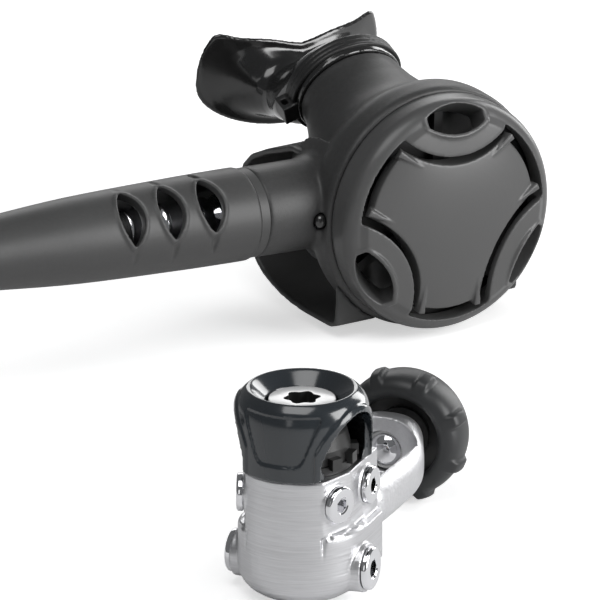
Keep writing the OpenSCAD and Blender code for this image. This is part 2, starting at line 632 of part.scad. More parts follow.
function coil_path() = concat([coil_start, coil_start + lead * [-cos(dip), 0, -sin(dip)]],
    [for (a = [1 : 3]) let (b = dip * (1 - a / 4))
        land + [dip_r * sin(b), 0, dip_r * (1 - cos(b))]],
    [for (i = [0 : rings_a_turn * coil_turns]) coil_point(i / rings_a_turn)],
    [coil_point(coil_turns) + [0, lead, 0]]);
// The least gap between stretches of the coil that aren't neighbours
function fine(p, k) = [for (i = [0 : len(p) - 2], j = [0 : k - 1]) p[i] + (p[i + 1] - p[i]) * j / k];
function least_gap(p, skip) = min([for (i = [0 : len(p) - 1]) for (j = [i + skip : len(p) - 1]) norm(p[i] - p[j])]) - hose_d;
echo(tightest_dip = dip_r / hose_d, hose_end = hose_end, coil_start = coil_start, land = land);
echo(coil_least_gap = least_gap(fine(coil_path(), 5), 60));
echo(coil_mean_width = (2 * coil_r + coil_pitch * coil_turns) / hose_d);
module hose_coil() {
    color([0.13, 0.13, 0.13]) tube(coil_path(), hose_r, 6, [0, 0, 1]);
}
hose_end = coil_point(coil_turns) + [0, lead, 0];
end_ferrule_len = 22;
module on_end(d) { translate(hose_end + [0, d, 0]) rotate([-90, 0, 0]) children(); }
module hose_end_ferrule() {
    color([0.85, 0.85, 0.86]) on_end(end_ferrule_len) mirror([0, 0, 1]) cylinder_end();
}
module cylinder_end() {
    rotate_extrude() polygon([[0, end_ferrule_len], [0, 0], [ferrule_d / 2 - 1, 0], [ferrule_d / 2, 1],
        [ferrule_d / 2, 5], [ferrule_d / 2 - 0.5, 6], [ferrule_d / 2 - 0.5, 9], [ferrule_d / 2, 10],
        [ferrule_d / 2, end_ferrule_len - 1], [ferrule_d / 2 - 0.5, end_ferrule_len]]);
}
fitting_len = 9;
hex_len = 9;
module hose_end_fitting() {
    color([0.85, 0.85, 0.86]) on_end(end_ferrule_len) difference() {
        union() {
            cylinder(r = 6.4, h = 2.5);
            translate([0, 0, 2]) cylinder(r = hex_af / 2 / cos(30), h = hex_len, $fn = 6);
            translate([0, 0, 2 + hex_len - 1]) cylinder(d = fitting_d - 2.4, h = 4);
            translate([0, 0, 4.4 + hex_len]) cylinder(d = fitting_d, h = fitting_len);
        }
        translate([0, 0, 6]) cylinder(r = 2, h = 60);
    }
}
module hose_end_o_ring() {
    color([0.05, 0.05, 0.05]) on_end(end_ferrule_len + 2 + hex_len + 1.2)
        rotate_extrude() translate([fitting_d / 2 - 0.28, 0]) circle(r = 0.88, $fn = 24);
}

// ---- First stage: X runs out along the yoke, Z up the body ----
module first() { rotate(yoke_turn) children(); }
foot_r = 8.5;
dome_h = 9;
ledge_z = 21.5;
block_z = 7;
block_u = 19.5;
block_round = 25.5;
low_z = 32.3;
high_z = 9.6;
low_flat = 16.4;
low_face = low_flat + 0.6;
high_face = body_r + 1.5;
low_head_t = 2;
high_head_t = 1.9;
low_thread_r = 4.74;
high_thread_r = 5.54;
low_turn = 19;
low_shift = -4.2;
low_back_u = 9.5;
high_u = 0.5;
boss_rim = 0.9;
// Places of the ports: point on the face's line, direction out, mirrored to both sides
module at_low_ports() {
    for (side = [-1, 1]) mirror([0, side > 0 ? 1 : 0, 0]) {
        rotate(-90 - low_turn) translate([0, low_shift, low_z]) along_x() children();
        translate([low_back_u, 0, low_z]) rotate([90, 0, 0]) children();
    }
}
module at_high_ports() {
    for (side = [-1, 1]) mirror([0, side > 0 ? 1 : 0, 0]) translate([high_u, 0, high_z]) rotate([90, 0, 0]) children();
}
yoke_back = block_u;
yoke_plate = 5.4;
neck_u = yoke_back + yoke_plate - 0.1;
neck_r = 9.4;
chamber_r = 12.6;
chamber_z = seam_z - 2.9;
carrier_depth = 1.9;
carrier_spigot_r = chamber_r + 1;
low_hole = 9;
high_hole = 12;
crossing_r = 1.2;
module body_block(half, from, to) {
    intersection() {
        translate([0, -half, from]) cube([block_u, 2 * half, to - from]);
        translate([0, 0, from]) cylinder(r = block_round, h = to - from);
    }
}
module first_stage_body() {
    color([0.72, 0.73, 0.75]) first() difference() {
        union() {
            rotate_extrude() polygon(concat([[0, 0], [foot_r, 0]],
                [for (a = [0 : 15 : 90]) [foot_r + (body_r - foot_r) * sin(a), dome_h * (1 - cos(a))]],
                [[body_r, ledge_z], [body_r - 1, ledge_z + 1], [0, ledge_z + 1]]));
            body_block(body_r, block_z, ledge_z);
            // Above the ledge the sides are cut flat for the low-pressure ports
            intersection() {
                union() {
                    translate([0, 0, ledge_z]) cylinder(r = body_r, h = seam_z - ledge_z - 0.4);
                    translate([0, 0, ledge_z]) cylinder(r = body_r - 0.4, h = seam_z - ledge_z);
                    body_block(body_r, ledge_z, seam_z);
                }
                translate([-body_r - 1, -low_flat, 0]) cube([2 * block_round, 2 * low_flat, seam_z + 1]);
                rotate(90 + low_turn) translate([low_flat - 80, -60, 0]) cube([80, 120, seam_z + 1]);
                rotate(-90 - low_turn) translate([low_flat - 80, -60, 0]) cube([80, 120, seam_z + 1]);
            }
            at_low_ports() cylinder(r = low_plug_d / 2 + 0.3, h = low_face);
            at_high_ports() cylinder(r1 = high_plug_d / 2 + 1.5, r2 = high_plug_d / 2 + boss_rim, h = high_face);
            translate([0, 0, yoke_z]) along_x() cylinder(r = neck_r, h = neck_u);
        }
        translate([0, 0, chamber_z]) cylinder(r = chamber_r, h = 30);
        translate([0, 0, seam_z - carrier_depth]) cylinder(r = carrier_spigot_r, h = 30);
        translate([0, 0, 4]) cylinder(r = 5, h = 60);
        at_low_ports() translate([0, 0, low_hole]) cylinder(r = low_thread_r, h = 40);
        at_low_ports() cylinder(r = crossing_r, h = 20);
        translate([0, 0, low_z]) along_x() cylinder(r = crossing_r, h = low_back_u);
        at_high_ports() translate([0, 0, high_hole]) cylinder(r = high_thread_r, h = 40);
        at_high_ports() cylinder(r = crossing_r, h = 20);
        // The inlet's way in
        translate([connector_from, 0, yoke_z]) along_x() cylinder(r = connector_r, h = 40);
        translate([3, 0, yoke_z - 3.4]) along_x() cylinder(r = crossing_r, h = connector_from);
    }
}
plug_gap = 0.12;
module plug(head_d, head_t, thread_r, len, socket_r) {
    difference() {
        union() {
            translate([0, 0, plug_gap]) cylinder(d = head_d, h = head_t - 0.5);
            translate([0, 0, plug_gap + head_t - 0.5]) cylinder(d1 = head_d, d2 = head_d - 1, h = 0.5);
            translate([0, 0, -len]) cylinder(r = thread_r - 0.05, h = len - 1.6);
            translate([0, 0, -2]) cylinder(r = thread_r - 1.3, h = 2 + 2 * plug_gap);
        }
        translate([0, 0, head_t - 3.2]) cylinder(r = socket_r, h = 6, $fn = 6);
    }
}
module low_pressure_plugs() {
    color([0.9, 0.9, 0.92]) first() at_low_ports() translate([0, 0, low_face])
        plug(low_plug_d, low_head_t, low_thread_r, low_face - low_hole - fit, 2.3);
}
module low_pressure_o_rings() {
    color([0.05, 0.05, 0.05]) first() at_low_ports() translate([0, 0, low_face - 0.85])
        rotate_extrude() translate([low_thread_r - 0.62, 0]) circle(r = 0.56, $fn = 20);
}
module high_pressure_plugs() {
    color([0.9, 0.9, 0.92]) first() at_high_ports() translate([0, 0, high_face])
        plug(high_plug_d, high_head_t, high_thread_r, high_face - high_hole - fit, 2.8);
}
module high_pressure_o_rings() {
    color([0.05, 0.05, 0.05]) first() at_high_ports() translate([0, 0, high_face - 0.85])
        rotate_extrude() translate([high_thread_r - 0.62, 0]) circle(r = 0.56, $fn = 20);
}

// ---- Cap, adjuster and diaphragm ----
cap_r = cap_d / 2;
cap_wall = 2;
funnel_r = adjuster_d / 2 + 0.8;
window_w = 28;
window_top = top_z - 4.5;
window_turn = 102;
panel_t = 0.6;
panel_z = seam_z + 5;
function arch(w, h) = concat([[w / 2, -8]], [for (a = [0 : 10 : 180]) [w / 2 * cos(a), h * sin(a)]], [[-w / 2, -8]]);
// Outside of the cap, set in by d
function cap_side(d) = [[cap_r - d, seam_z + 10], [cap_r - 0.5 - d, top_z - 6], [cap_r - 2 - d, top_z - 2.2]];
module top_cap() {
    color([0.2, 0.22, 0.24]) first() difference() {
        rotate_extrude() polygon([[cap_r - 3.2, seam_z + fit], [cap_r, seam_z + fit], each cap_side(0), [cap_r - 4, top_z - 0.2], [cap_r - 4.6, top_z],
            [cap_r - 5.2, top_z - 0.4], [funnel_r, top_z - 4], [funnel_r, top_z - 9], [funnel_r + 2, top_z - 9],
            [cap_r - cap_wall - 2, top_z - 6], [cap_r - cap_wall - 0.6, top_z - 9], [cap_r - cap_wall, seam_z + 12], [cap_r - cap_wall, seam_z + 4]]);
        for (side = [-1, 1]) rotate(side * window_turn) translate([cap_r - 6, 0, seam_z + 1.5]) rotate([90, 0, 90])
            linear_extrude(10) polygon(arch(window_w, window_top - seam_z - 1.5));
        // Front panel: a shallow recess that follows the cap's round
        difference() {
            rotate(180) translate([0, 0, panel_z]) rotate([90, 0, 90]) linear_extrude(cap_r + 2)
                polygon([[-5.5, 0], [5.5, 0], [7.2, 1.2], [12, 13.6], [11, 15.4], [-11, 15.4], [-12, 13.6], [-7.2, 1.2]]);
            rotate_extrude() polygon([[0, seam_z], [cap_r - panel_t, seam_z], each cap_side(panel_t), [0, top_z - 2.2]]);
        }
    }
}
carrier_dome_z = top_z - 9.5;
carrier_r = 14.9;
castellations = 12;
carrier_bore_r = 10.8;
module spring_carrier() {
    color([0.1, 0.1, 0.1]) first() difference() {
        union() {
            translate([0, 0, seam_z - carrier_depth + 0.1]) cylinder(r = carrier_spigot_r - running, h = carrier_depth + 1);
            translate([0, 0, plate_z + 0.05]) cylinder(r = chamber_r - running, h = 3);
            translate([0, 0, seam_z + fit]) cylinder(r = carrier_r, h = 2.6);
            // Castellations for the key that turns the carrier
            for (i = [0 : castellations - 1]) rotate(i * 360 / castellations)
                translate([carrier_r - 1.9, -1.8, seam_z + 2]) cube([3.6, 3.6, 3.4]);
            rotate_extrude() polygon([[0, seam_z + 1], [14.4, seam_z + 1], [14.2, seam_z + 7], [13.2, carrier_dome_z - 3],
                [funnel_r + 0.6, carrier_dome_z - 0.6], [0, carrier_dome_z]]);
        }
        translate([0, 0, chamber_z]) cylinder(r = carrier_bore_r, h = carrier_dome_z - chamber_z - 2.6);
        translate([0, 0, seam_z]) cylinder(r = adjuster_thread_r + running, h = 40);
    }
}
adjuster_thread_r = 8;
adjuster_top = top_z - 3.4;
adjuster_disc_t = 2.2;
adjuster_gap = 1.7;
adjuster_from = carrier_dome_z - 4.4;
module adjusting_screw() {
    color([0.93, 0.93, 0.95]) first() difference() {
        union() {
            translate([0, 0, adjuster_top - adjuster_disc_t]) cylinder(d = adjuster_d, h = adjuster_disc_t - 0.5);
            translate([0, 0, adjuster_top - 0.5]) cylinder(d1 = adjuster_d, d2 = adjuster_d - 1, h = 0.5);
            translate([0, 0, adjuster_from]) cylinder(r = adjuster_thread_r, h = adjuster_top - adjuster_disc_t - adjuster_from + 1);
        }
        translate([0, 0, adjuster_top - 5]) cylinder(r = 4.6, h = 6);
        for (i = [0 : 5]) rotate(i * 60) translate([4.2, 0, adjuster_top - 5]) cylinder(r = 1.3, h = 6);
    }
}
pad_t = 2;
pad_r = 9.6;
module spring_pad() {
    color([0.7, 0.7, 0.7]) first() translate([0, 0, adjuster_from - pad_t]) cylinder(r = pad_r, h = pad_t);
}
plate_z = chamber_z + 2.2;
main_plate_t = 2.2;
main_wire_r = 0.8;
module main_spring() {
    color([0.75, 0.75, 0.75]) first() translate([0, 0, plate_z + main_plate_t + 0.1])
        spring(7.6, main_wire_r, adjuster_from - pad_t - plate_z - main_plate_t - 0.2, 2);
}
module diaphragm_plate() {
    color([0.8, 0.7, 0.45]) first() translate([0, 0, plate_z]) cylinder(r = 10, h = main_plate_t);
}
module main_diaphragm() {
    color([0.08, 0.08, 0.08]) first() {
        translate([0, 0, chamber_z + 0.05]) cylinder(r = chamber_r - fit, h = 0.95);
        translate([0, 0, chamber_z + 0.05]) cylinder(r = pad_r, h = plate_z - chamber_z - 0.15);
    }
}
crown_z = 22;
high_seat_t = 1.6;
high_seat_z = crown_z - 2.05 - high_seat_t;
module push_pin() {
    color([0.85, 0.85, 0.85]) first() {
        translate([0, 0, crown_z + 1.2]) cylinder(r = 1.3, h = chamber_z - crown_z - 2.2);
        translate([0, 0, chamber_z - 1.2]) cylinder(r = 4, h = 1.2);
    }
}
module valve_crown() {
    color([0.85, 0.75, 0.45]) first() difference() {
        translate([0, 0, crown_z - 2]) cylinder(r = 5 - running, h = 5);
        translate([0, 0, crown_z - 3]) cylinder(r = 1.9, h = 12);
    }
}
module high_pressure_seat() {
    color([0.9, 0.9, 0.85]) first() translate([0, 0, high_seat_z]) difference() {
        cylinder(r = 3.4, h = high_seat_t);
        translate([0, 0, -1]) cylinder(r = 0.85, h = 4);
    }
}
module high_pressure_poppet() {
    color([0.85, 0.75, 0.45]) first() {
        translate([0, 0, high_seat_z - 3]) cylinder(r = 4.2, h = 3);
        translate([0, 0, crown_z - 15]) cylinder(r = 1.6, h = 9);
        translate([0, 0, crown_z - 7]) cylinder(r = 0.8, h = 8);
    }
}
module high_pressure_spring() {
    color([0.75, 0.75, 0.75]) first() translate([0, 0, 4.2])
        spring(3.2, 0.5, high_seat_z - 3 - 4.4, 5);
}

// ---- Yoke, inlet and knob: distances run out from the body's axis ----
connector_r = 5.6;
connector_from = 13;
module on_yoke(d) { first() translate([d, 0, yoke_z]) along_x() children(); }
boss_u = 67.6;
yoke_to = 76;
hollow_r = 6.4;
hollow_to = 73.4;
screw_r = screw_d / 2;
// Stations of the yoke: distance out, height of its middle, half height, half width
function yoke_stations() = let (w = yoke_gap / 2 + 4.2) [
    [yoke_back + fit, yoke_z + 0.8, 9.8, w - 1.6], [yoke_back + 3, yoke_z + 0.8, 9.8, w - 0.6], [30, yoke_z + 0.5, 9.6, w],
    [48, yoke_z, 9.4, w - 0.1], [57, yoke_z, 9.8, w - 1.2], [63, yoke_z, 10.5, w - 3], [68, yoke_z, 10.9, w - 5],
    [72, yoke_z, 10.8, w - 6.6], [yoke_to - 1, yoke_z, 9.8, w - 7.8], [yoke_to, yoke_z, 8.8, w - 8.8]];
module yoke() {
    color([0.75, 0.75, 0.77]) first() difference() {
        skin([for (s = yoke_stations()) box_ring([s[0], 0, s[1]], [0, 1, 0], [0, 0, 1], s[3], s[2], 2.8)]);
        translate([yoke_back + yoke_plate, -yoke_gap / 2, 0]) cube([boss_u - yoke_back - yoke_plate - 9, yoke_gap, 60]);
        translate([boss_u - 9.1, 0, 0]) scale([0.66, 1, 1]) cylinder(d = yoke_gap, h = 60);
        translate([yoke_back - 1, 0, yoke_z]) along_x() cylinder(r = neck_r + fit, h = 12);
        translate([boss_u - 10, 0, yoke_z]) along_x() cylinder(r = hollow_r, h = hollow_to - boss_u + 10);
        translate([boss_u, 0, yoke_z]) along_x() cylinder(r = screw_r + running, h = 20);
    }
}
module inlet_connector() {
    color([0.9, 0.9, 0.92]) on_yoke(0) difference() {
        union() {
            translate([0, 0, connector_from + fit]) cylinder(r = connector_r - running, h = neck_u - connector_from + 1);
            translate([0, 0, neck_u + fit]) rotate(30) cylinder(r = 11.4, h = 3, $fn = 6);
            translate([0, 0, neck_u + 2]) cylinder(r = 9, h = seat_u - neck_u - 2);
        }
        translate([0, 0, seat_u - 1.1]) pipe(7.9, 5.6, 2);
        translate([0, 0, 7]) cylinder(r = 3, h = 40);
        translate([0, 0, seat_u - 5]) cylinder(r = 4.6, h = 20);
    }
}
module inlet_filter() {
    color([0.6, 0.55, 0.4]) on_yoke(seat_u - 5 + 0.02) {
        cylinder(r = 4.5, h = 1.6);
        translate([0, 0, 1.6]) cylinder(r1 = 3, r2 = 2, h = 1);
    }
}
module filter_clip() {
    color([0.8, 0.8, 0.8]) on_yoke(seat_u - 3.35) difference() {
        pipe(4.55, 3.7, 0.8);
        translate([0, -0.8, -1]) cube([8, 1.6, 4]);
    }
}
knob_from = 78;
hub_from = yoke_to + 7.4;
clip_u = screw_tip_u + 2.2;
clip_t = 1;
module yoke_screw() {
    color([0.92, 0.92, 0.94]) on_yoke(0) difference() {
        union() {
            translate([0, 0, screw_tip_u]) cylinder(r1 = 2.4, r2 = screw_r, h = 1.8);
            translate([0, 0, screw_tip_u + 1.8]) cylinder(r = screw_r, h = hub_to - 3 - screw_tip_u - 1.8);
        }
        translate([0, 0, clip_u]) pipe(screw_r + 1, screw_r - 0.7, clip_t);
    }
}
module screw_clip() {
    color([0.7, 0.7, 0.7]) on_yoke(clip_u + 0.05) pipe(screw_r + 0.9, screw_r - 0.65, clip_t - 0.1);
}
hub_to = knob_from + knob_w - 1;
grip_wall = 3.6;
module knob_hub() {
    color([0.08, 0.08, 0.08]) on_yoke(0) difference() {
        union() {
            translate([0, 0, hub_from]) cylinder(r = screw_r + 3.4, h = 4);
            translate([0, 0, hub_from + 1.5]) cylinder(r = knob_d / 2 - grip_wall, h = hub_to - hub_from - 1.5);
        }
        translate([0, 0, hub_from - 1]) cylinder(r = screw_r + 0.02, h = hub_to - 3 - hub_from + 1);
    }
}
bumps = 8;
module knob_grip() {
    r = knob_d / 2;
    color([0.13, 0.13, 0.14]) on_yoke(knob_from) {
        rotate_extrude() polygon([[r - grip_wall - 1.6, 0.8], [r - 3, 0], [r - 1.2, 0.9], [r - 0.2, 3.4], [r, knob_w * 0.45],
            [r - 0.5, knob_w - 4.4], [r - 2.4, knob_w - 1.2], [r - 4.6, knob_w], [0, knob_w + 0.6], [0, knob_w - 1 + 0.02],
            [r - grip_wall + 0.02, knob_w - 1 + 0.02], [r - grip_wall + 0.02, 3]]);
        for (i = [0 : bumps - 1]) rotate(22.5 + i * 360 / bumps) translate([r - 0.9, 0, knob_w * 0.42])
            rotate([0, 90, 0]) rotate(45) cylinder(r1 = 4.2, r2 = 0.5, h = 2.3, $fn = 4);
    }
}

case();
front_cover();
purge_button();
purge_spring();
retaining_ring();
diaphragm();
diaphragm_disc();
demand_lever();
valve_barrel();
poppet();
poppet_nut();
poppet_seat();
poppet_spring();
orifice();
orifice_o_ring();
balance_cap();
exhaust_valve();
exhaust_tee();
mouthpiece();
mouthpiece_tie();
cover_lock_pin();
inlet_collar();
hose_nut();
hose_stem();
hose_ferrule();
hose_protector();
hose();
hose_coil();
hose_end_ferrule();
hose_end_fitting();
hose_end_o_ring();
first_stage_body();
top_cap();
adjusting_screw();
spring_carrier();
spring_pad();
main_spring();
diaphragm_plate();
main_diaphragm();
push_pin();
high_pressure_poppet();
high_pressure_seat();
high_pressure_spring();
valve_crown();
low_pressure_plugs();
low_pressure_o_rings();
high_pressure_plugs();
high_pressure_o_rings();
yoke();
inlet_connector();
inlet_filter();
filter_clip();
yoke_screw();
knob_hub();
knob_grip();
screw_clip();
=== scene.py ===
import bpy
import bmesh
import json
from math import acos, atan2, cos, degrees, exp, pi, radians, sin, sqrt
from mathutils import Matrix, Vector

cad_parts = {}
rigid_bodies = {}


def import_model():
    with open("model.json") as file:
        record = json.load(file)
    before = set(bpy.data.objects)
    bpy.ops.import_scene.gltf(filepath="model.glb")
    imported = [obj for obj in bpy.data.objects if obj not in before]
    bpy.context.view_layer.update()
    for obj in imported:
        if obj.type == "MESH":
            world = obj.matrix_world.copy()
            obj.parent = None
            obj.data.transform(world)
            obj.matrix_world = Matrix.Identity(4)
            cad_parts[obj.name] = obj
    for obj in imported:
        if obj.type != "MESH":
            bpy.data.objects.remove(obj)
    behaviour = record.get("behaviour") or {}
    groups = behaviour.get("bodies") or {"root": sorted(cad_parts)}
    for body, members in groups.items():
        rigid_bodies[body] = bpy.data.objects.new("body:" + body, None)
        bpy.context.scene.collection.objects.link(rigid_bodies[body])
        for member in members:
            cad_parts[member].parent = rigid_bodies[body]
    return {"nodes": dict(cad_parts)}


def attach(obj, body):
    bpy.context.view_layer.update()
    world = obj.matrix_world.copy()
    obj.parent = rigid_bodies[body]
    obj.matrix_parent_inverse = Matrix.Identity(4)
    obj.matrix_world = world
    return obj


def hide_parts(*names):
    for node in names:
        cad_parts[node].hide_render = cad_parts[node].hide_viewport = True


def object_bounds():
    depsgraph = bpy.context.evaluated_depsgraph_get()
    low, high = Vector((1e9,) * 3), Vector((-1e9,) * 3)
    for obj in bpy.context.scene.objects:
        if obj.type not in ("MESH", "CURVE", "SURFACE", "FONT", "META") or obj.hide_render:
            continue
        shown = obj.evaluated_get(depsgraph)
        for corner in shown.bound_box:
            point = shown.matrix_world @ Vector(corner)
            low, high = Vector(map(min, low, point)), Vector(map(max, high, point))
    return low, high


for old in list(bpy.data.objects):
    bpy.data.objects.remove(old)
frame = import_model()
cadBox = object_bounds()
mm = 0.001
scene = bpy.context.scene

# Where the two stages stand, as the solids have them
secondPlace = Matrix.Translation((0.155, 0.172, 0.0385)) @ Matrix.Rotation(radians(2.5), 4, "Y")
firstPlace = Matrix.Rotation(radians(37), 4, "Z")
facing = secondPlace @ Matrix.Rotation(radians(90), 4, "X")  # Z comes forward out of the cover


# Camera, light and floor
studio = {
    "azimuth": -32,
    "elevation": 20,
    "pixelsPerMm": 3.25,
    "coverPixel": (433, 207),  # where the middle of the cover's seam falls in a 600 x 600 picture
    "distance": 5.0,
    "roomLight": 0.14,
    "floorGlow": 0.55,
    "floorDrop": 0.0004,
    "floorReach": 6,
    "lampTarget": (0.08, 0.12, 0.03),
    "pictureSide": 600,
    "sensor": 36,
    # place, size, watts
    "lamps": {
        "key": ((0.95, -1.0, 0.5), (0.8, 1.0), 17.5),
        "edge": ((1.25, 0.45, 0.4), (0.4, 0.8), 5.0),
        "left": ((-1.05, -0.75, 0.42), (0.2, 0.6), 0.35),
        "top": ((-0.35, -0.3, 1.2), (0.8, 0.8), 6.0),
        "back": ((0.7, 1.15, 0.48), (0.9, 0.45), 3.0),
    },
}


def makeCamera():
    a, e = radians(studio["azimuth"]), radians(studio["elevation"])
    back = Vector((sin(a) * cos(e), -cos(a) * cos(e), sin(e)))
    right = Vector((cos(a), sin(a), 0))
    up = back.cross(right)
    x, y = studio["coverPixel"]
    half = studio["pictureSide"] / 2
    shift = (right * (half - x) + up * (y - half)) * (mm / studio["pixelsPerMm"])
    target = secondPlace.translation + shift
    data = bpy.data.cameras.new("camera")
    data.sensor_width = studio["sensor"]
    data.lens = studio["sensor"] * studio["distance"] / (studio["pictureSide"] / studio["pixelsPerMm"] * mm)
    data.clip_end = 50
    cam = bpy.data.objects.new("camera", data)
    scene.collection.objects.link(cam)
    cam.location = target + back * studio["distance"]
    cam.rotation_mode = "QUATERNION"
    cam.rotation_quaternion = (-back).to_track_quat("-Z", "Y")
    scene.camera = cam


def areaLight(name, place, target, size, watts):
    data = bpy.data.lights.new(name, "AREA")
    data.shape = "RECTANGLE"
    data.size, data.size_y = size
    data.energy = watts
    lamp = bpy.data.objects.new(name, data)
    scene.collection.objects.link(lamp)
    lamp.location = place
    lamp.rotation_mode = "QUATERNION"
    lamp.rotation_quaternion = (Vector(target) - Vector(place)).to_track_quat("-Z", "Y")


# Node helpers
class Value:
    # A socket that takes part in Python sums; each sum adds its Math node
    def __init__(self, maker, socket):
        self.maker = maker
        self.socket = socket

    def sum(self, operation, a, b):
        return self.maker.node("ShaderNodeMath", {"operation": operation}, {0: a, 1: b})

    def __add__(self, other):
        return self.sum("ADD", self, other)

    def __sub__(self, other):
        return self.sum("SUBTRACT", self, other)

    def __mul__(self, other):
        return self.sum("MULTIPLY", self, other)

    def __truediv__(self, other):
        return self.sum("DIVIDE", self, other)

    def __radd__(self, other):
        return self.sum("ADD", other, self)

    def __rsub__(self, other):
        return self.sum("SUBTRACT", other, self)

    def __rmul__(self, other):
        return self.sum("MULTIPLY", other, self)


class Nodes:
    # Adds nodes to one tree; a socket takes a plain value or a Value
    def __init__(self, tree):
        self.tree = tree

    def node(self, kind, settings=None, sockets=None, output=0):
        made = self.tree.nodes.new(kind)
        for key, value in (settings or {}).items():
            setattr(made, key, value)
        for key, value in (sockets or {}).items():
            if isinstance(value, Value):
                self.tree.links.new(value.socket, made.inputs[key])
            else:
                made.inputs[key].default_value = value
        return Value(self, made.outputs[output])


class Finish(Nodes):
    # One material: a Principled shader and whatever feeds it
    def __init__(self, name, settings):
        self.material = bpy.data.materials.new(name)
        self.material.use_nodes = True
        super().__init__(self.material.node_tree)
        self.tree.nodes.clear()
        self.shader = self.tree.nodes.new("ShaderNodeBsdfPrincipled")
        self.out = self.tree.nodes.new("ShaderNodeOutputMaterial")
        self.tree.links.new(self.shader.outputs[0], self.out.inputs["Surface"])
        for key, value in settings.items():
            self.shader.inputs[key].default_value = value
        coords = self.tree.nodes.new("ShaderNodeTexCoord")
        self.place = Value(self, coords.outputs["Object"])

    def noise(self, scale, detail=3, stretch=(1, 1, 1), roughness=0.5):
        where = self.place
        if stretch != (1, 1, 1):
            where = self.node("ShaderNodeMapping", None, {"Vector": where, "Scale": stretch})
        sockets = {"Vector": where, "Scale": scale, "Detail": detail, "Roughness": roughness}
        return self.node("ShaderNodeTexNoise", None, sockets)

    def spread(self, value, low, high):
        sockets = {"Value": value, "To Min": low, "To Max": high}
        return self.node("ShaderNodeMapRange", None, sockets)

    def mix(self, factor, a, b):
        return self.node("ShaderNodeMix", {"data_type": "RGBA"}, {0: factor, 6: a, 7: b}, 2)

    def bump(self, height, distance, strength=1.0):
        sockets = {"Height": height, "Distance": distance, "Strength": strength}
        self.feed("Normal", self.node("ShaderNodeBump", None, sockets))

    def feed(self, name, value):
        self.tree.links.new(value.socket, self.shader.inputs[name])


def grey(level, blue=0.0):
    return (level, level * (1 + blue * 0.5), level * (1 + blue), 1)


def plastic(name, level, rough, grain, blue=0.0, coat=0.0, mottled=0.0):
    f = Finish(name, {"Base Color": grey(level, blue), "Roughness": rough, "Coat Weight": coat})
    f.shader.inputs["Coat Roughness"].default_value = 0.12
    fine = f.noise(2600, 2)
    f.bump(fine, grain)
    f.feed("Roughness", f.spread(f.noise(60, 3), rough - 0.05, rough + 0.05))
    if mottled:
        soft = f.noise(900, 3)
        dark, pale = [grey(level * k, blue) for k in (1 - mottled, 1 + mottled)]
        f.feed("Base Color", f.mix(soft, dark, pale))
    return f.material


def metal(name, colour, rough, dents=0.0, scale=900, stretch=(1, 1, 1), varied=0.04, streaks=0.0):
    f = Finish(name, {"Base Color": (*colour, 1), "Roughness": rough, "Metallic": 1.0})
    if dents:
        f.bump(f.noise(scale, 3, stretch), dents)
    if streaks:
        dark, pale = [tuple(c * k for c in colour) + (1,) for k in (1 - streaks, 1 + streaks)]
        f.feed("Base Color", f.mix(f.spread(f.noise(scale * 1.3, 4, stretch, 0.7), -0.4, 1.4), dark, pale))
    f.feed("Roughness", f.spread(f.noise(140, 2, stretch), max(0.02, rough - varied), rough + varied))
    return f.material


finishes = {
    "case": plastic("grainedBlackPlastic", 0.045, 0.44, 0.00006, mottled=0.25),
    "cover": plastic("satinCharcoalPlastic", 0.088, 0.31, 0.000012),
    "tee": plastic("smoothBlackRubber", 0.05, 0.42, 0.00001),
    # This black finish also paints shade into the adjusting disc's key socket
    "dark": plastic("plainBlackPlastic", 0.02, 0.4, 0.00001),
    "protector": plastic("hoseProtectorRubber", 0.058, 0.45, 0.00002, mottled=0.12),
    "hose": plastic("hoseRubber", 0.03, 0.5, 0.00004),
    "mouthpiece": plastic("glossyBlackSilicone", 0.013, 0.18, 0.000002, coat=0.9),
    "smoke": plastic("smokeSilicone", 0.035, 0.35, 0.000004),
    "rubber": plastic("blackRubber", 0.02, 0.5, 0.00001),
    "knob": plastic("knobRubber", 0.026, 0.42, 0.000015, blue=0.1),
    "cap": plastic("blueGreyCapPlastic", 0.022, 0.16, 0.000002, blue=0.45, coat=0.7),
    "nylon": plastic("whiteNylon", 0.75, 0.35, 0.000004),
    "disc": plastic("whiteSatinDisc", 0.88, 0.22, 0.000002, coat=0.5),
    "chrome": metal("polishedChrome", (0.82, 0.82, 0.84), 0.07, varied=0.02),
    "body": metal("pearlChrome", (0.66, 0.66, 0.675), 0.37, 0.0001, 420, (0.1, 0.1, 3), streaks=0.14),
    "yoke": metal("castPearlChrome", (0.7, 0.7, 0.715), 0.42, 0.00022, 750, streaks=0.06),
    "steel": metal("drawnSteel", (0.6, 0.6, 0.6), 0.25),
    "brass": metal("turnedBrass", (0.75, 0.58, 0.28), 0.2),
    "bronze": metal("sinteredBronze", (0.5, 0.38, 0.2), 0.5, 0.0001, 1800),
}
print("finishes ready")


# The hose
hose = {
    "diameter": 0.012,
    "coilRadius": 0.058,
    "coilPitch": 0.0184,
    "coilTurns": 1.25,
    "pointsPerTurn": 48,
    "endRise": 0.0025,
    "runs": [(0, 0), (12, 0.5), (23.5, -0.2), (33, -2.7), (41.5, -6.7), (49, -12), (58.5, -20)],
    "start": (0.052159, 0.189, 0.044392),
    "exit": (-0.004787, 0.189, 0.046878),
}


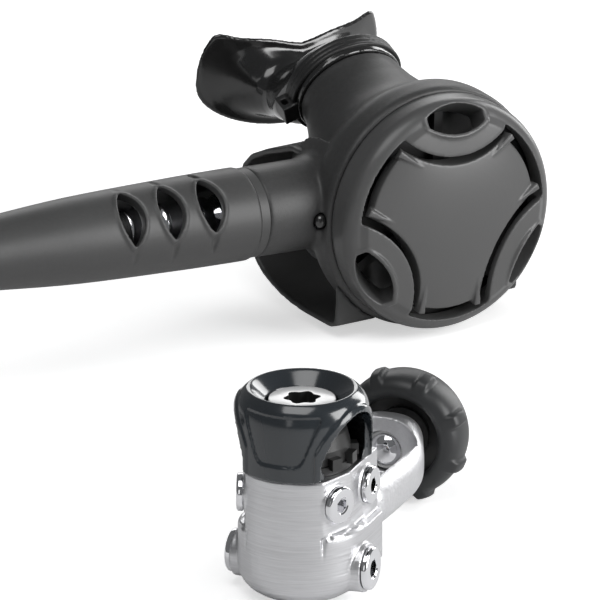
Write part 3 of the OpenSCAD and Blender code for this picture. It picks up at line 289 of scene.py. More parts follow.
def hoseRoute():
    r = hose["diameter"] / 2
    lead = hose["diameter"]
    start, leave = Vector(hose["start"]), Vector(hose["exit"])
    route = [start.lerp(leave, i / 3) for i in range(3)]
    route += [leave + Vector((-x, 0, z)) * mm for x, z in hose["runs"]]
    (xa, za), (xb, zb) = hose["runs"][-2:]
    dip = atan2(za - zb, xb - xa)
    drop = route[-1].z - lead * sin(dip) - r
    bend = drop / (1 - cos(dip))
    route.append(route[-1] + Vector((-cos(dip), 0, -sin(dip))) * lead)
    land = route[-1] + Vector((-bend * sin(dip), 0, -drop))
    for i in range(1, 8):
        b = dip * (1 - i / 8)
        route.append(land + Vector((bend * sin(b), 0, bend * (1 - cos(b)))))
    middle = land + Vector((0, hose["coilRadius"], 0))
    perTurn = hose["pointsPerTurn"]
    for i in range(int(perTurn * hose["coilTurns"]) + 1):
        t = i / perTurn
        a = -pi / 2 - 2 * pi * t
        reach = hose["coilRadius"] + hose["coilPitch"] * t
        k = max(0, (t - hose["coilTurns"] + 0.25) / 0.25)
        route.append(middle + Vector((reach * cos(a), reach * sin(a), hose["endRise"] * k * k * (3 - 2 * k))))
    route.append(route[-1] + Vector((0, lead, 0)))
    return route


def makeHose():
    route = hoseRoute()
    data = bpy.data.curves.new("hose_line", "CURVE")
    data.dimensions = "3D"
    data.bevel_depth = hose["diameter"] / 2
    data.bevel_resolution = 6
    data.use_fill_caps = True
    line = data.splines.new("POLY")
    line.points.add(len(route) - 1)
    for point, place in zip(line.points, route):
        point.co = (*place, 1)
    obj = bpy.data.objects.new("hose_line", data)
    scene.collection.objects.link(obj)
    data.materials.append(finishes["hose"])
    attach(obj, "root")
    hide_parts("hose", "hose_coil")
    length = sum((b - a).length for a, b in zip(route, route[1:]))
    print("hose", round(length, 3), "m")


makeCamera()
makeHose()


# Mesh helpers: shapes are drawn in millimetres, then placed
def fromRings(rings, closed=False, capped=True):
    # Rings of points with a skin between them; closed joins the last to the first
    mesh = bpy.data.meshes.new("skin")
    n = len(rings[0])
    points = [p for ring in rings for p in ring]
    count = len(rings)
    faces = []
    for j in range(count if closed else count - 1):
        a, b = j * n, ((j + 1) % count) * n
        faces += [(a + i, a + (i + 1) % n, b + (i + 1) % n, b + i) for i in range(n)]
    if capped and not closed:
        faces += [tuple(range(n))[::-1], tuple(range((count - 1) * n, count * n))]
    mesh.from_pydata([tuple(p) for p in points], [], faces)
    return outward(mesh)


def outward(mesh, merge=1e-5):
    work = bmesh.new()
    work.from_mesh(mesh)
    bmesh.ops.remove_doubles(work, verts=work.verts, dist=merge)
    bmesh.ops.recalc_face_normals(work, faces=work.faces)
    work.to_mesh(mesh)
    work.free()
    return mesh


def lathe(profile, sides=128):
    # profile: distance from Z and height; it starts and ends on the axis, or runs round a closed wall
    turns = [2 * pi * i / sides for i in range(sides)]
    rings = [[(r * cos(a), r * sin(a), z) for a in turns] for r, z in profile]
    onAxis = profile[0][0] < 1e-6 and profile[-1][0] < 1e-6
    return fromRings(rings, closed=not onAxis, capped=False)


def rod(radius, low, high, sides=128):
    return lathe([(0, low), (radius, low), (radius, high), (0, high)], sides)


def prism(outline, low, high):
    return fromRings([[(x, y, low) for x, y in outline], [(x, y, high) for x, y in outline]])


def placed(mesh, *moves):
    for move in reversed(moves):
        mesh.transform(move)
    if any(move.determinant() < 0 for move in moves):
        mesh.flip_normals()
    return mesh


def turned(angle, axis):
    return Matrix.Rotation(radians(angle), 4, axis)


def moved(x, y, z):
    return Matrix.Translation((x, y, z))


def nodeMesh(node):
    # A node's own mesh, merged, in millimetres
    mesh = frame["nodes"][node].data.copy()
    mesh.transform(Matrix.Scale(1000, 4))
    return outward(mesh, 1e-4)


def evaluated(obj):
    made = bpy.data.meshes.new_from_object(obj.evaluated_get(bpy.context.evaluated_depsgraph_get()))
    bpy.data.objects.remove(obj)
    return made


def temporary(mesh):
    obj = bpy.data.objects.new("work", mesh)
    scene.collection.objects.link(obj)
    return obj


def joined(meshes):
    work = bmesh.new()
    for mesh in meshes:
        work.from_mesh(mesh)
    mesh = bpy.data.meshes.new("joined")
    work.to_mesh(mesh)
    work.free()
    return mesh


def cut(mesh, tools, operation="DIFFERENCE"):
    for tool in tools:
        obj, knife = temporary(mesh), temporary(tool.copy())
        step = obj.modifiers.new("cut", "BOOLEAN")
        step.operation, step.object, step.solver = operation, knife, "EXACT"
        bpy.context.view_layer.update()
        mesh = evaluated(obj)
        bpy.data.objects.remove(knife)
    return mesh


def moulded(parts, cuts=(), voxel=0.45, rounds=6, thinned=0):
    # Parts are cut, melted together on a fine grid and eased, which rounds every edge as a mould does
    obj = temporary(joined([cut(part, cuts) for part in parts]))
    grid = obj.modifiers.new("grid", "REMESH")
    grid.mode, grid.voxel_size = "VOXEL", voxel
    ease = obj.modifiers.new("ease", "SMOOTH")
    ease.factor, ease.iterations = 0.5, rounds
    if thinned:
        fewer = obj.modifiers.new("fewer", "DECIMATE")
        fewer.ratio = thinned
    bpy.context.view_layer.update()
    return evaluated(obj)


def finished(name, mesh, place, finish, nodes, body="root", smooth=True, crease=None):
    # Puts the mesh in its place in metres and hands it to the frame
    mesh.transform(place @ Matrix.Scale(mm, 4))
    low, high = [Vector(corner) for corner in cadBox]
    for vert in mesh.vertices:
        if not all(a <= c <= b for a, c, b in zip(low, vert.co, high)):
            vert.co = [min(max(a, c), b) for a, c, b in zip(low, vert.co, high)]
    if finish is not None:
        mesh.materials.clear()
        mesh.materials.append(finishes[finish])
    mesh.polygons.foreach_set("use_smooth", [smooth] * len(mesh.polygons))
    if crease:
        mesh.set_sharp_from_angle(angle=radians(crease))
    obj = bpy.data.objects.new(name, mesh)
    scene.collection.objects.link(obj)
    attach(obj, body)
    if nodes:
        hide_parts(*nodes)
    print(name, len(mesh.polygons), "faces")


def eased(points, steps=6):
    # A smooth line through points of any number of coordinates
    line = []
    for i in range(len(points) - 1):
        a, b = points[max(i - 1, 0)], points[i]
        c, d = points[i + 1], points[min(i + 2, len(points) - 1)]
        for k in range(steps):
            t = k / steps
            line.append(tuple(
                q + t * ((r - p) / 2
                         + t * ((p - 2.5 * q + 2 * r - s / 2) + t * (-p / 2 + 1.5 * q - 1.5 * r + s / 2)))
                for p, q, r, s in zip(a, b, c, d)))
    return line + [tuple(points[-1])]


# The case of the second stage
case = {
    "radius": 38.5,
    "rimDrop": 0.8,
    "wall": 2.4,
    "neckTilt": 22,
    "neckBase": (0, 10, 7),
    "neckLength": 41.5,
    "collarWidth": 35.5,
    "collarHeight": 31,
    "spigot": 10,
    "spigotStep": 1.5,
    "valve": (17, 1.4),
    "exhaust": (0, 21.5, -20.5),
    "exhaustTurn": -135,
    "exhaustSeat": 13.5,
    "exhaustSocket": 12.3,
    "exhaustPit": 11.1,
    "ledgeRadius": 31.7,
    "boreRadius": 7.56,
    "roomRadius": 10.6,
    "capBoss": 10,
    "pinRadius": 2.7,
    "inletRadius": 14,
    "inletReach": 57,
}
neckDir = Vector((0, cos(radians(case["neckTilt"])), sin(radians(case["neckTilt"]))))
neckUp = Vector((0, -neckDir.z, neckDir.y))
collarMiddle = Vector(case["neckBase"]) + neckDir * case["neckLength"]
across = Vector((1, 0, 0))


def ovalRing(middle, up, side, high, wide, power=2, sides=128):
    ring = []
    for i in range(sides):
        c, s = cos(2 * pi * i / sides), sin(2 * pi * i / sides)
        c, s = [(1 if v > 0 else -1) * abs(v) ** (2 / power) for v in (c, s)]
        ring.append(middle + up * (high * c) + side * (wide * s))
    return ring


def caseRings(grow):
    r, tilt, drop = case["radius"], case["neckTilt"], case["rimDrop"]
    stations = [
        (0, 0, r - drop, r - drop, 0), (1.5, 0, r - 0.15, r - 0.15, 0), (4, 0, r, r, 0), (9, 0, r, r, 0),
        (14, 1, r - 2.4, r - 2.4, 2), (20, 3, r - 6.4, r - 6.4, tilt * 0.25),
        (26.5, 6.8, r - 11.2, r - 10.6, tilt * 0.5), (33, 11.8, r - 16, r - 14.2, tilt * 0.75),
        (41, 18.2, case["collarHeight"] / 2 + 2, case["collarWidth"] / 2 + 2.2, tilt * 0.95)]
    rings = []
    for y, z, high, wide, lean in eased(stations, 5):
        up = Vector((0, -sin(radians(lean)), cos(radians(lean))))
        rings.append(ovalRing(Vector((0, y, z)), up, across, high + grow, wide + grow))
    return rings


def collarRing(along, grow, power=2):
    return ovalRing(collarMiddle + neckDir * along, neckUp, across,
                    case["collarHeight"] / 2 + grow, case["collarWidth"] / 2 + grow, power)


def onValve(x):
    # Z runs along the valve, towards the hose's far side
    return moved(x, *case["valve"]) @ turned(90, "Y")


def onHose(x):
    # Z runs away from the case along the hose, from x millimetres out
    return moved(-x, *case["valve"]) @ turned(-90, "Y")


def makeCase():
    w, step = case["wall"], case["spigotStep"]
    outer = caseRings(0)
    inner = caseRings(-w)
    collar = [(-2, 0), (0.6, 0), (1, -0.4), (1, -step), (case["spigot"], -step), (case["spigot"], -step - w),
              (-2, -step - w)]
    shell = fromRings(outer + [collarRing(*at) for at in collar] + inner[::-1], closed=True)
    far, near = case["radius"] - 2, case["ledgeRadius"]
    ledge = placed(lathe([(far, 0), (far, 2.2), (near, 2.2), (near, 0)]), moved(0, 3, 0), turned(-90, "X"))
    r, reach = case["inletRadius"], case["inletReach"]
    inlet = placed(lathe([(0, 0), (r - 0.6, 0), (r, 0.6), (r, 30), (0, 30)]), onValve(-reach))
    flare = lathe([(0, 0), (r, 0), (r + 0.6, 3), (r + 2.4, 5.6), (r + 6, 8), (0, 8)])
    fillet = placed(flare, onValve(-reach + 19))
    exhaust = moved(*case["exhaust"]) @ turned(case["exhaustTurn"], "X")
    boss = placed(rod(case["capBoss"], 0, 4.4), onValve(27))
    seat = placed(rod(case["exhaustSeat"], 0, 6), exhaust, moved(0, 0, -3))
    bore = placed(rod(case["boreRadius"], 0, 88), onValve(-reach - 1))
    room = placed(rod(case["roomRadius"], 0, 5), onValve(-reach - 1))
    socket = placed(rod(case["exhaustSocket"], 0, 12), exhaust, moved(0, 0, 3))
    pit = placed(rod(case["exhaustPit"], 0, 5.4), exhaust, moved(0, 0, -4))
    ball = [(case["pinRadius"] * sin(a * pi / 12), -case["pinRadius"] * cos(a * pi / 12)) for a in range(13)]
    pocket = placed(lathe(ball, 32), moved(-case["radius"], 4, 0))
    mesh = moulded([shell, ledge, inlet, fillet, boss, seat], [bore, room, socket, pit, pocket], 0.6, 5, 0.8)
    finished("second_stage_case", mesh, secondPlace, "case", ["case"])


# Cover and purge button
cover = {
    "radius": 37.0,
    "rim": 6.0,
    "dome": 9.0,
    "wall": 2.0,
    "shoulder": 5.0,
    "openingRadius": 33.0,
    "lobeRadius": 20.5,
    "lobeSpan": 34,
    "lobeGap": 2.6,
    "sunk": 3.4,  # how much deeper the button's edge lies than the cover's dome
    "armGap": 3.6,
    "portLength": 24.0,
    "portWidth": 9.6,
    "portTilt": 34,
    "bluntEnd": 1.7,
    "lip": 1.3,
    "lipHeight": 1.9,
    "buttonPin": 2.54,
    "buttonHub": 5.2,
    "ridgeLength": 10.0,
    "ridgeWidth": 3.6,
    "ridgeHeight": 1.9,
    "angles": (90, -30, 210),
}


def domeProfile(inset, sunk=0, steps=16):
    r, s = cover["radius"] - inset, cover["shoulder"] - inset * 0.5
    top = cover["rim"] + cover["dome"]
    line = [(r - s + s * cos(a), cover["rim"] + s * sin(a) - inset * 0.2)
            for a in [radians(75 * i / steps) for i in range(steps + 1)]]
    knee = line[-1][0] / r
    spread = [knee * (1 - i / steps) for i in range(1, steps + 1)]
    line += [(r * q, top - inset - (cover["dome"] - s) * q ** 2.4) for q in spread]
    return [(x, z - sunk * (x / r) ** 2) for x, z in line]


def openingOutline(gap, arm, steps=120):
    # The three-armed opening: a circle with three round lobes taken from it
    reach, inner = cover["openingRadius"], cover["lobeRadius"]
    span = radians(cover["lobeSpan"])
    far = (reach ** 2 - inner ** 2) / (2 * (reach * cos(span) - inner))
    lobe = far - inner + gap
    line = []
    for i in range(steps * 3):
        a = 2 * pi * i / (steps * 3)
        r = reach - arm
        for turn in cover["angles"]:
            off = (a - radians(turn) + pi) % (2 * pi) - pi
            inside = lobe ** 2 - (far * sin(off)) ** 2
            if abs(off) < pi / 2 and inside > 0:
                r = min(r, far * cos(off) - sqrt(inside))
        line.append((r * cos(a), r * sin(a)))
    return line


def eyeOutline(grow, steps=24):
    # Two arcs that nearly meet, with blunt ends
    half, high = cover["portLength"] / 2, cover["portWidth"] / 2
    big = (half ** 2 + high ** 2) / (2 * high) + grow
    middle = big - high - grow
    reach = sqrt(big ** 2 - (middle + cover["bluntEnd"] + grow * 0.4) ** 2)
    right = [(x * reach) for x in [-1 + 2 * i / steps for i in range(steps + 1)]]
    upper = [(sqrt(big ** 2 - y ** 2) - middle, y) for y in right]
    return upper + [(-x, y) for x, y in upper[::-1]]


def atPort(turn):
    out = moved(cover["radius"] - 6.2, 0, cover["rim"] + 3.4)
    return turned(turn, "Z") @ out @ turned(cover["portTilt"], "Y")


def makeCover():
    r, w, rim, reach = cover["radius"], cover["wall"], cover["rim"], cover["openingRadius"]
    outer, inner = domeProfile(0), domeProfile(w)
    shell = lathe([(r - w, 0.2), (r - w + 0.2, 0), (r - 0.3, 0), (r, 0.4)] + outer[:-1]
                  + [(0.01, outer[-1][1]), (0.01, inner[-1][1])] + inner[-2::-1])
    skirt = lathe([(reach - 1.4, rim - 2.4), (reach + 1.4, rim - 2.4), (reach + 1.4, rim + 3.4),
                   (reach - 1.4, rim + 3.4)])
    lips = eyeOutline(cover["lip"])
    wells = [placed(prism(lips, -7, cover["lipHeight"]), atPort(turn)) for turn in cover["angles"]]
    opening = prism(openingOutline(0, 0), 0.8, 20)
    ports = [placed(prism(eyeOutline(0), -9, 7), atPort(turn)) for turn in cover["angles"]]
    below = rod(r + 2, -9, 1)
    beyond = lathe([(r - w, -9), (r + 9, -9), (r + 9, rim), (r - w, rim)])
    wells = [cut(well, [below, beyond]) for well in wells]
    hollow = lathe([(0, -1), (r - w, -1), (r - w, rim - 2.4), (r - w - 5, rim - 1), (0, rim - 1)])
    mesh = moulded([cut(part, [hollow]) for part in (shell, skirt)] + wells, [opening] + ports, 0.33, 8, 0.82)
    finished("cover_shell", mesh, facing, "cover", ["front_cover"])


def gripRidges():
    # Two wedges on each arm of the button, rising towards its corners
    long, wide, high = cover["ridgeLength"], cover["ridgeWidth"] / 2, cover["ridgeHeight"]
    wedge = bpy.data.meshes.new("wedge")
    wedge.from_pydata(
        [(0, -0.3, -0.9), (0, 0.3, -0.9), (long, wide, -1.4), (long, -wide, -1.4), (0, -0.1, 0.05),
         (0, 0.1, 0.05), (long, wide * 0.6, high), (long, -wide * 0.6, high)], [],
        [(0, 1, 2, 3), (4, 7, 6, 5), (0, 3, 7, 4), (1, 5, 6, 2), (0, 4, 5, 1), (3, 2, 6, 7)])
    top = cover["rim"] + cover["dome"] + 0.2
    places = []
    for turn in cover["angles"]:
        for side in (-1, 1):
            places.append(turned(turn + 180, "Z") @ moved(19.6, side * 9.6, top - 2.3)
                          @ turned(side * 3, "Z") @ turned(15.5, "Y"))
    return repeated("grip_ridges", outward(wedge), places, finishes["cover"])


def makeButton():
    top = cover["rim"] + cover["dome"] + 0.2
    dome = domeProfile(-0.2, cover["sunk"])
    under = domeProfile(2.4, cover["sunk"])
    r = cover["radius"]
    lobe, arm, low = cover["lobeGap"], cover["armGap"], cover["rim"] + 1
    cap = lathe([(r + 0.19, 0)] + dome[:-1] + [(0.01, dome[-1][1]), (0.01, under[-1][1])] + under[-2::-1]
                + [(r - 2.4, 0)])
    face = cut(cap, [prism(openingOutline(lobe, arm), low, 20)], "INTERSECT")
    solid = lathe([(0, 0), (r + 0.19, 0)] + dome[:-1] + [(0, dome[-1][1])])
    inside = prism(openingOutline(lobe + 1.4, arm + 1.4), low - 1, 21)
    edge = cut(prism(openingOutline(lobe, arm), low, 20), [inside])
    edge = cut(edge, [solid], "INTERSECT")
    pin = rod(cover["buttonPin"], -1.3, top - 2, 48)
    hub = rod(cover["buttonHub"], top - 5.4, top - 2, 64)
    mesh = moulded([face, edge, pin, hub, gripRidges()], (), 0.33, 5)
    finished("purge_button_face", mesh, facing, "cover", ["purge_button"], "button")


# Mouthpiece
mouthpiece = {
    "wall": 1.8,
    "flangeWidth": 66,
    "flangeHeight": 27,
    "bow": 7,
    "smile": 4,
    "tilt": 6,
    "sleeve": 9,
    "offset": (0, 30.5, -1.6),
    "crest": 2.6,
    "ear": 2.2,
    "tieFrom": 3.0,
    "tieWidth": 5.0,
    "tieThickness": 1.2,
    "tieTurn": 24,
}
mouthDir = Vector((0, cos(radians(mouthpiece["tilt"])), sin(radians(mouthpiece["tilt"]))))
mouthUp = Vector((0, -mouthDir.z, mouthDir.y))
flangeMiddle = collarMiddle + Vector(mouthpiece["offset"])


def flangeRing(along, growHigh, growWide):
    # The upper edge dips in the middle and turns up into small ears at its corners
    half = mouthpiece["flangeWidth"] / 2
    middle = flangeMiddle + mouthDir * along
    ring = ovalRing(middle, mouthUp, across, mouthpiece["flangeHeight"] / 2 + growHigh, half + growWide, 3)
    bow = Vector((0, mouthpiece["bow"], mouthpiece["smile"]))
    made = []
    for p in ring:
        q = abs(p.x) / half
        share = min(1, max(0, (p - middle).dot(mouthUp) / 9)) ** 2
        ear = mouthpiece["ear"] * exp(-((q - 0.86) / 0.15) ** 2) - 1.4 * exp(-(q / 0.22) ** 2)
        p = p + mouthUp * (share * (mouthpiece["crest"] * (0.55 + q) + ear))
        made.append(p + bow * q ** 2 - Vector((0, 0, mouthpiece["smile"])))
    return made


def throatRing(along, high, wide, drop=0):
    ring = ovalRing(flangeMiddle + mouthDir * along, mouthUp, across, high, wide, 2.3)
    return [p - Vector((0, 0, drop)) for p in ring]


def between(rings, steps=4):
    # More rings along smooth lines through the given ones
    lines = [eased([tuple(ring[i]) for ring in rings], steps) for i in range(len(rings[0]))]
    return [[Vector(line[j]) for line in lines] for j in range(len(lines[0]))]


def makeMouthpiece():
    w, smile = mouthpiece["wall"], mouthpiece["smile"]
    g = -case["spigotStep"] + 0.15
    outside = between([collarRing(1.15, g + w), collarRing(mouthpiece["sleeve"], g + w),
                       throatRing(-14, 12, 17.5), throatRing(-5, 10, 16.5, smile), flangeRing(-1, -3, -9),
                       flangeRing(0, -0.6, -1)])
    edge = [flangeRing(0.4, 0, 0), flangeRing(1.2, 0, 0), flangeRing(1.6, -0.5, -0.7)]
    inside = between([flangeRing(1.6, -4, -14), throatRing(1.6, 7, 13, smile),
                      throatRing(-5, 10 - w, 16.5 - w, smile), throatRing(-14, 12 - w, 17.5 - w),
                      collarRing(case["spigot"] + 0.15, g), collarRing(1.15, g)])
    body = fromRings(outside + edge + inside, closed=True)
    tabs = []
    for side in (-1, 1):
        at = moved(*(flangeMiddle + Vector((side * 21, 0, -2.2)))) @ turned(mouthpiece["tilt"], "X")
        for root, depth in ((0, 1.8), (6.2, 4.2)):
            wide = 6.5 * side
            tab = [(-wide, max(root + 2, 2.1)), (wide, max(root + 2, 5.2)), (wide, 11.4), (-wide, 11.4)]
            tabs.append(placed(prism(tab[::side], -depth, depth), at))
    mesh = moulded([body] + tabs, (), 0.45, 5, 0.9)
    finished("mouthpiece_rubber", mesh, secondPlace, "mouthpiece", ["mouthpiece"])


def slab(x0, x1, y0, y1, z0, z1):
    return prism([(x0, y0), (x1, y0), (x1, y1), (x0, y1)], z0, z1)


def makeTie():
    # A ribbed band round the mouthpiece's sleeve, with its lock on the side
    inner = -case["spigotStep"] + 0.15 + mouthpiece["wall"] + 0.1
    w, t, start = mouthpiece["tieWidth"], mouthpiece["tieThickness"], mouthpiece["tieFrom"]
    section = [(0, 0), (0, t - 0.3), (0.3, t)]
    for x in (0.3, 0.62):
        section += [(w * x - 0.35, t), (w * x, t - 0.55), (w * x + 0.35, t)]
    section += [(w - 0.3, t), (w, t - 0.3), (w, 0)]
    band = fromRings([collarRing(start + x, inner + grow) for x, grow in section], closed=True)
    back = -case["collarWidth"] / 2 - inner
    block = slab(back - 4.4, back + 0.9, -3.4, 3.4, -0.7, w + 0.7)
    slit = slab(back - 3.4, back - 1.6, -5, 5, 1.4, w - 1.4)
    toNeck = moved(*(collarMiddle + neckDir * start)) @ turned(case["neckTilt"] - 90, "X")
    high, wide = case["collarHeight"] / 2, case["collarWidth"] / 2
    turn = mouthpiece["tieTurn"]
    lower = moved(wide - wide * cos(radians(turn)), high * sin(radians(turn)), 0)
    drop = lower @ moved(back, 0, 0) @ turned(-turn, "Z") @ moved(-back, 0, 0)
    lock = [placed(mesh, toNeck, drop) for mesh in (block, slit)]
    mesh = moulded([band, cut(lock[0], [lock[1]])], (), 0.28, 4)
    finished("sleeve_tie", mesh, secondPlace, "dark", ["mouthpiece_tie"])


# Exhaust tee
def makeTee():
    mesh = moulded([nodeMesh("exhaust_tee")], (), 0.5, 8)
    finished("exhaust_hood", mesh, Matrix(), "tee", ["exhaust_tee"])


# Hose protector, nut and ferrule
protector = {
    "from": 60,
    "length": 100,
    "baseRadius": 14.5,
    "tipRadius": 10.5,
    "wall": 2.4,
    "bore": 6.25,
    "slots": (17, 31, 45),
    "slotLength": 18,
    "slotWidth": 8.4,
    "rimWidth": 1.0,
    "rimHeight": 0.4,
    "slotTurn": 40,
}


def slotOutline(grow, steps=20):
    half, high = protector["slotLength"] / 2, protector["slotWidth"] / 2
    big = (half ** 2 + high ** 2) / (2 * high)
    line = [(-half + 2 * half * i / steps) for i in range(steps + 1)]
    upper = [(x * (1 + grow / half), sqrt(max(0, big ** 2 - x * x)) - (big - high) + grow) for x in line]
    return upper + [(x, -y) for x, y in upper[::-1][1:-1]]


def makeProtector():
    r0, r1, end = protector["baseRadius"], protector["tipRadius"], protector["length"]
    inner, bore = r0 - protector["wall"], protector["bore"]
    outside = eased([(r0 - 0.8, 0), (r0, 0.8), (r0, 6), (r0 * 0.95 + r1 * 0.05, end * 0.25),
                     (r0 * 0.72 + r1 * 0.28, end * 0.6), (r1 + 0.9, end * 0.88), (r1, end - 2),
                     (r1 - 1.5, end)], 5)
    wall = [(bore, end), (bore, end * 0.62), (inner - 2, end * 0.48), (inner, end * 0.3), (inner, 0)]
    outside = [(min(r, r0), z) for r, z in outside]
    body = lathe(outside + wall)
    raised = lathe([(r + protector["rimHeight"], z) for r, z in outside] + wall)
    slots, rims, creases = [], [], []
    for x in protector["slots"]:
        for half in (0, 180):
            at = moved(0, 0, x) @ turned(protector["slotTurn"] + half, "Z") @ turned(90, "X")
            slots.append(placed(prism(slotOutline(0), 4, 20), at))
            rim = prism(slotOutline(protector["rimWidth"]), 8, 20)
            rims.append(cut(placed(rim, at), [raised], "INTERSECT"))
            for side in (-1, 1):
                crease = prism([(side * -4, -1.5), (side * 5, 0), (side * -4, 1.5)][::side], r0 - 0.9, r0 + 1)
                creases.append(placed(crease, at @ turned(side * 56, "Y")))
    mesh = moulded([cut(body, creases)] + rims, slots, 0.42, 5, 0.8)
    finished("protector_sleeve", placed(mesh, onHose(protector["from"])), secondPlace, "protector",
             ["hose_protector"])


# First stage
stageBody = {
    "radius": 19,
    "seam": 40.5,
    "top": 64,
    "capRadius": 20.4,
    "lowZ": 32.3,
    "highZ": 9.6,
    "lowFace": 17,
    "highFace": 20.5,
    "lowTurn": 19,
    "lowShift": -4.2,
    "flat": 16.4,
    "ledge": 21.5,
    "cove": 1.5,
    "lowBack": 9.5,
    "highU": 0.5,
    "yokeZ": 20,
}


def makeBody():
    r, flat, ledge = stageBody["radius"], stageBody["flat"], stageBody["ledge"]
    # A cove along the ledge under each flat, and a small notch that tapers down from the ledge's end
    w = stageBody["cove"]
    bends = [pi * i / 16 for i in range(9)]
    cove = [(-3, -1), (0.4, -1), (w, 0)] + [(w - w * sin(a), w - w * cos(a)) for a in bends] + [(-3, w)]
    limit = rod(r - 0.3, 0, 50)
    parts, notches = [nodeMesh("first_stage_body")], []
    for side in (-1, 1):
        for turn, far in ((90 + stageBody["lowTurn"], 14), (90, 12)):
            under = turned(side * turn, "Z") @ moved(flat, 0, ledge) @ turned(90, "X")
            bar = placed(prism(cove, -far, far), under)
            parts.append(placed(cut(bar, [limit], "INTERSECT"), firstPlace))
        a = radians(side * (90 + stageBody["lowTurn"] + degrees(acos(flat / r))))
        taper = lathe([(0, -8), (1, 1.5), (0, 1.5)], 24)
        notches.append(placed(taper, firstPlace, moved(r * cos(a), r * sin(a), ledge)))
    mesh = moulded(parts, notches, 0.38, 3, 0.9)
    finished("metal_body", mesh, Matrix(), "body", ["first_stage_body"])


def archOutline(wide, high, steps=32):
    arch = [pi * i / steps for i in range(steps + 1)]
    return [(wide * cos(a), high * sin(a)) for a in arch] + [(-wide, -8), (wide, -8)]


cap = {
    "wall": 2,
    "windowTurn": 102,
    "windowHalf": 14,
    "windowHeight": 17.5,
    "surroundHalf": 16.4,
    "surroundHeight": 19.6,
    "surroundRise": 0.55,
    "panelDepth": 0.6,
    "panelUp": 5,
}


def makeCap():
    r, seam, top = stageBody["capRadius"], stageBody["seam"], stageBody["top"]
    wall = cap["wall"]
    outside = [(r - 0.4, seam + 0.15), (r, seam + 0.6)] + eased(
        [(r, seam + 4), (r, seam + 10), (r - 0.5, top - 6), (r - 2, top - 2.2), (r - 4, top - 0.2),
         (r - 4.6, top), (r - 5.4, top - 0.5)], 5)
    body = lathe(outside + [(10.8, top - 4), (10.8, top - 9), (12.8, top - 9), (r - wall - 2, top - 6),
                            (r - wall - 0.6, top - 9), (r - wall, seam + 12), (r - wall, seam + 4),
                            (r - 3.2, seam + 0.15)])
    windows, surrounds = [], []
    rise = cap["surroundRise"]
    swelled = lathe([(0, seam + 0.2)] + [(q + rise, z) for q, z in outside[1:-6]] + [(0, top - 2)])
    for side in (-1, 1):
        at = turned(side * cap["windowTurn"], "Z") @ moved(r - 6, 0, seam + 1.5)
        at = at @ turned(90, "Z") @ turned(90, "X")
        windows.append(placed(prism(archOutline(cap["windowHalf"], cap["windowHeight"]), 0, 10), at))
        surround = prism(archOutline(cap["surroundHalf"], cap["surroundHeight"]), 0, 10)
        surrounds.append(cut(placed(surround, at), [swelled], "INTERSECT"))
    half = [(0, 0), (5, 0), (6.6, 0.7), (7.6, 2.2), (11.6, 13), (12, 14.4), (11.4, 15.3), (9, 15.4)]
    outline = half + [(-x, y) for x, y in half[::-1][:-1]]
    core = lathe([(0, seam)] + [(q - cap["panelDepth"], z) for q, z in outside[:-6]] + [(0, top - 2)])
    front = turned(180, "Z") @ moved(0, 0, seam + cap["panelUp"]) @ turned(90, "Z") @ turned(90, "X")
    panel = cut(placed(prism(outline, r - 8, r + 2), front), [core])
    mesh = moulded([body] + surrounds, windows + [panel], 0.36, 5, 0.9)
    finished("cap_shell", mesh, firstPlace, "cap", ["top_cap"])


def onYoke(u):
    return moved(u, 0, stageBody["yokeZ"]) @ turned(90, "Y")


def yokeRing(u, z, high, wide, power=2.8):
    return ovalRing(Vector((u, 0, z)), Vector((0, 0, 1)), Vector((0, 1, 0)), high, wide, power, 96)


yoke = {
    "halfWidth": 17.8,
    "gapHalf": 13.6,
    "gapFrom": 24.9,
    "gapTo": 58.6,
    "archFlatness": 0.66,
    "neckRadius": 9.55,
    "nutHollow": 6.4,
    "screwBore": 5.06,
}


def makeYoke():
    z, w, half = stageBody["yokeZ"], yoke["halfWidth"], yoke["gapHalf"]
    stations = eased([(19.8, z + 0.8, 9.5, w - 2), (22.5, z + 0.8, 9.8, w - 0.6), (30, z + 0.5, 9.6, w),
                      (48, z, 9.4, w - 0.1), (57, z, 9.8, w - 1.2), (63, z, 10.5, w - 3),
                      (68, z, 10.9, w - 5), (72, z, 10.8, w - 6.6), (75, z, 9.8, w - 7.8),
                      (75.9, z, 8.9, w - 8.8)], 5)
    rings = [yokeRing(*s) for s in stations]
    body = fromRings(rings)
    gap = slab(yoke["gapFrom"], yoke["gapTo"], -half, half, 0, 60)
    arch = placed(rod(half, 0, 60, 96), moved(58.5, 0, 0), Matrix.Diagonal((yoke["archFlatness"], 1, 1, 1)))
    neck = placed(rod(yoke["neckRadius"], 0, 12), onYoke(18.5))
    hollow = placed(rod(yoke["nutHollow"], 0, 15.8), onYoke(57.6))
    bore = placed(rod(yoke["screwBore"], 0, 20), onYoke(67.6))
    mesh = moulded([body], [gap, arch, neck, hollow, bore], 0.42, 6)
    finished("yoke_casting", mesh, firstPlace, "yoke", ["yoke"])


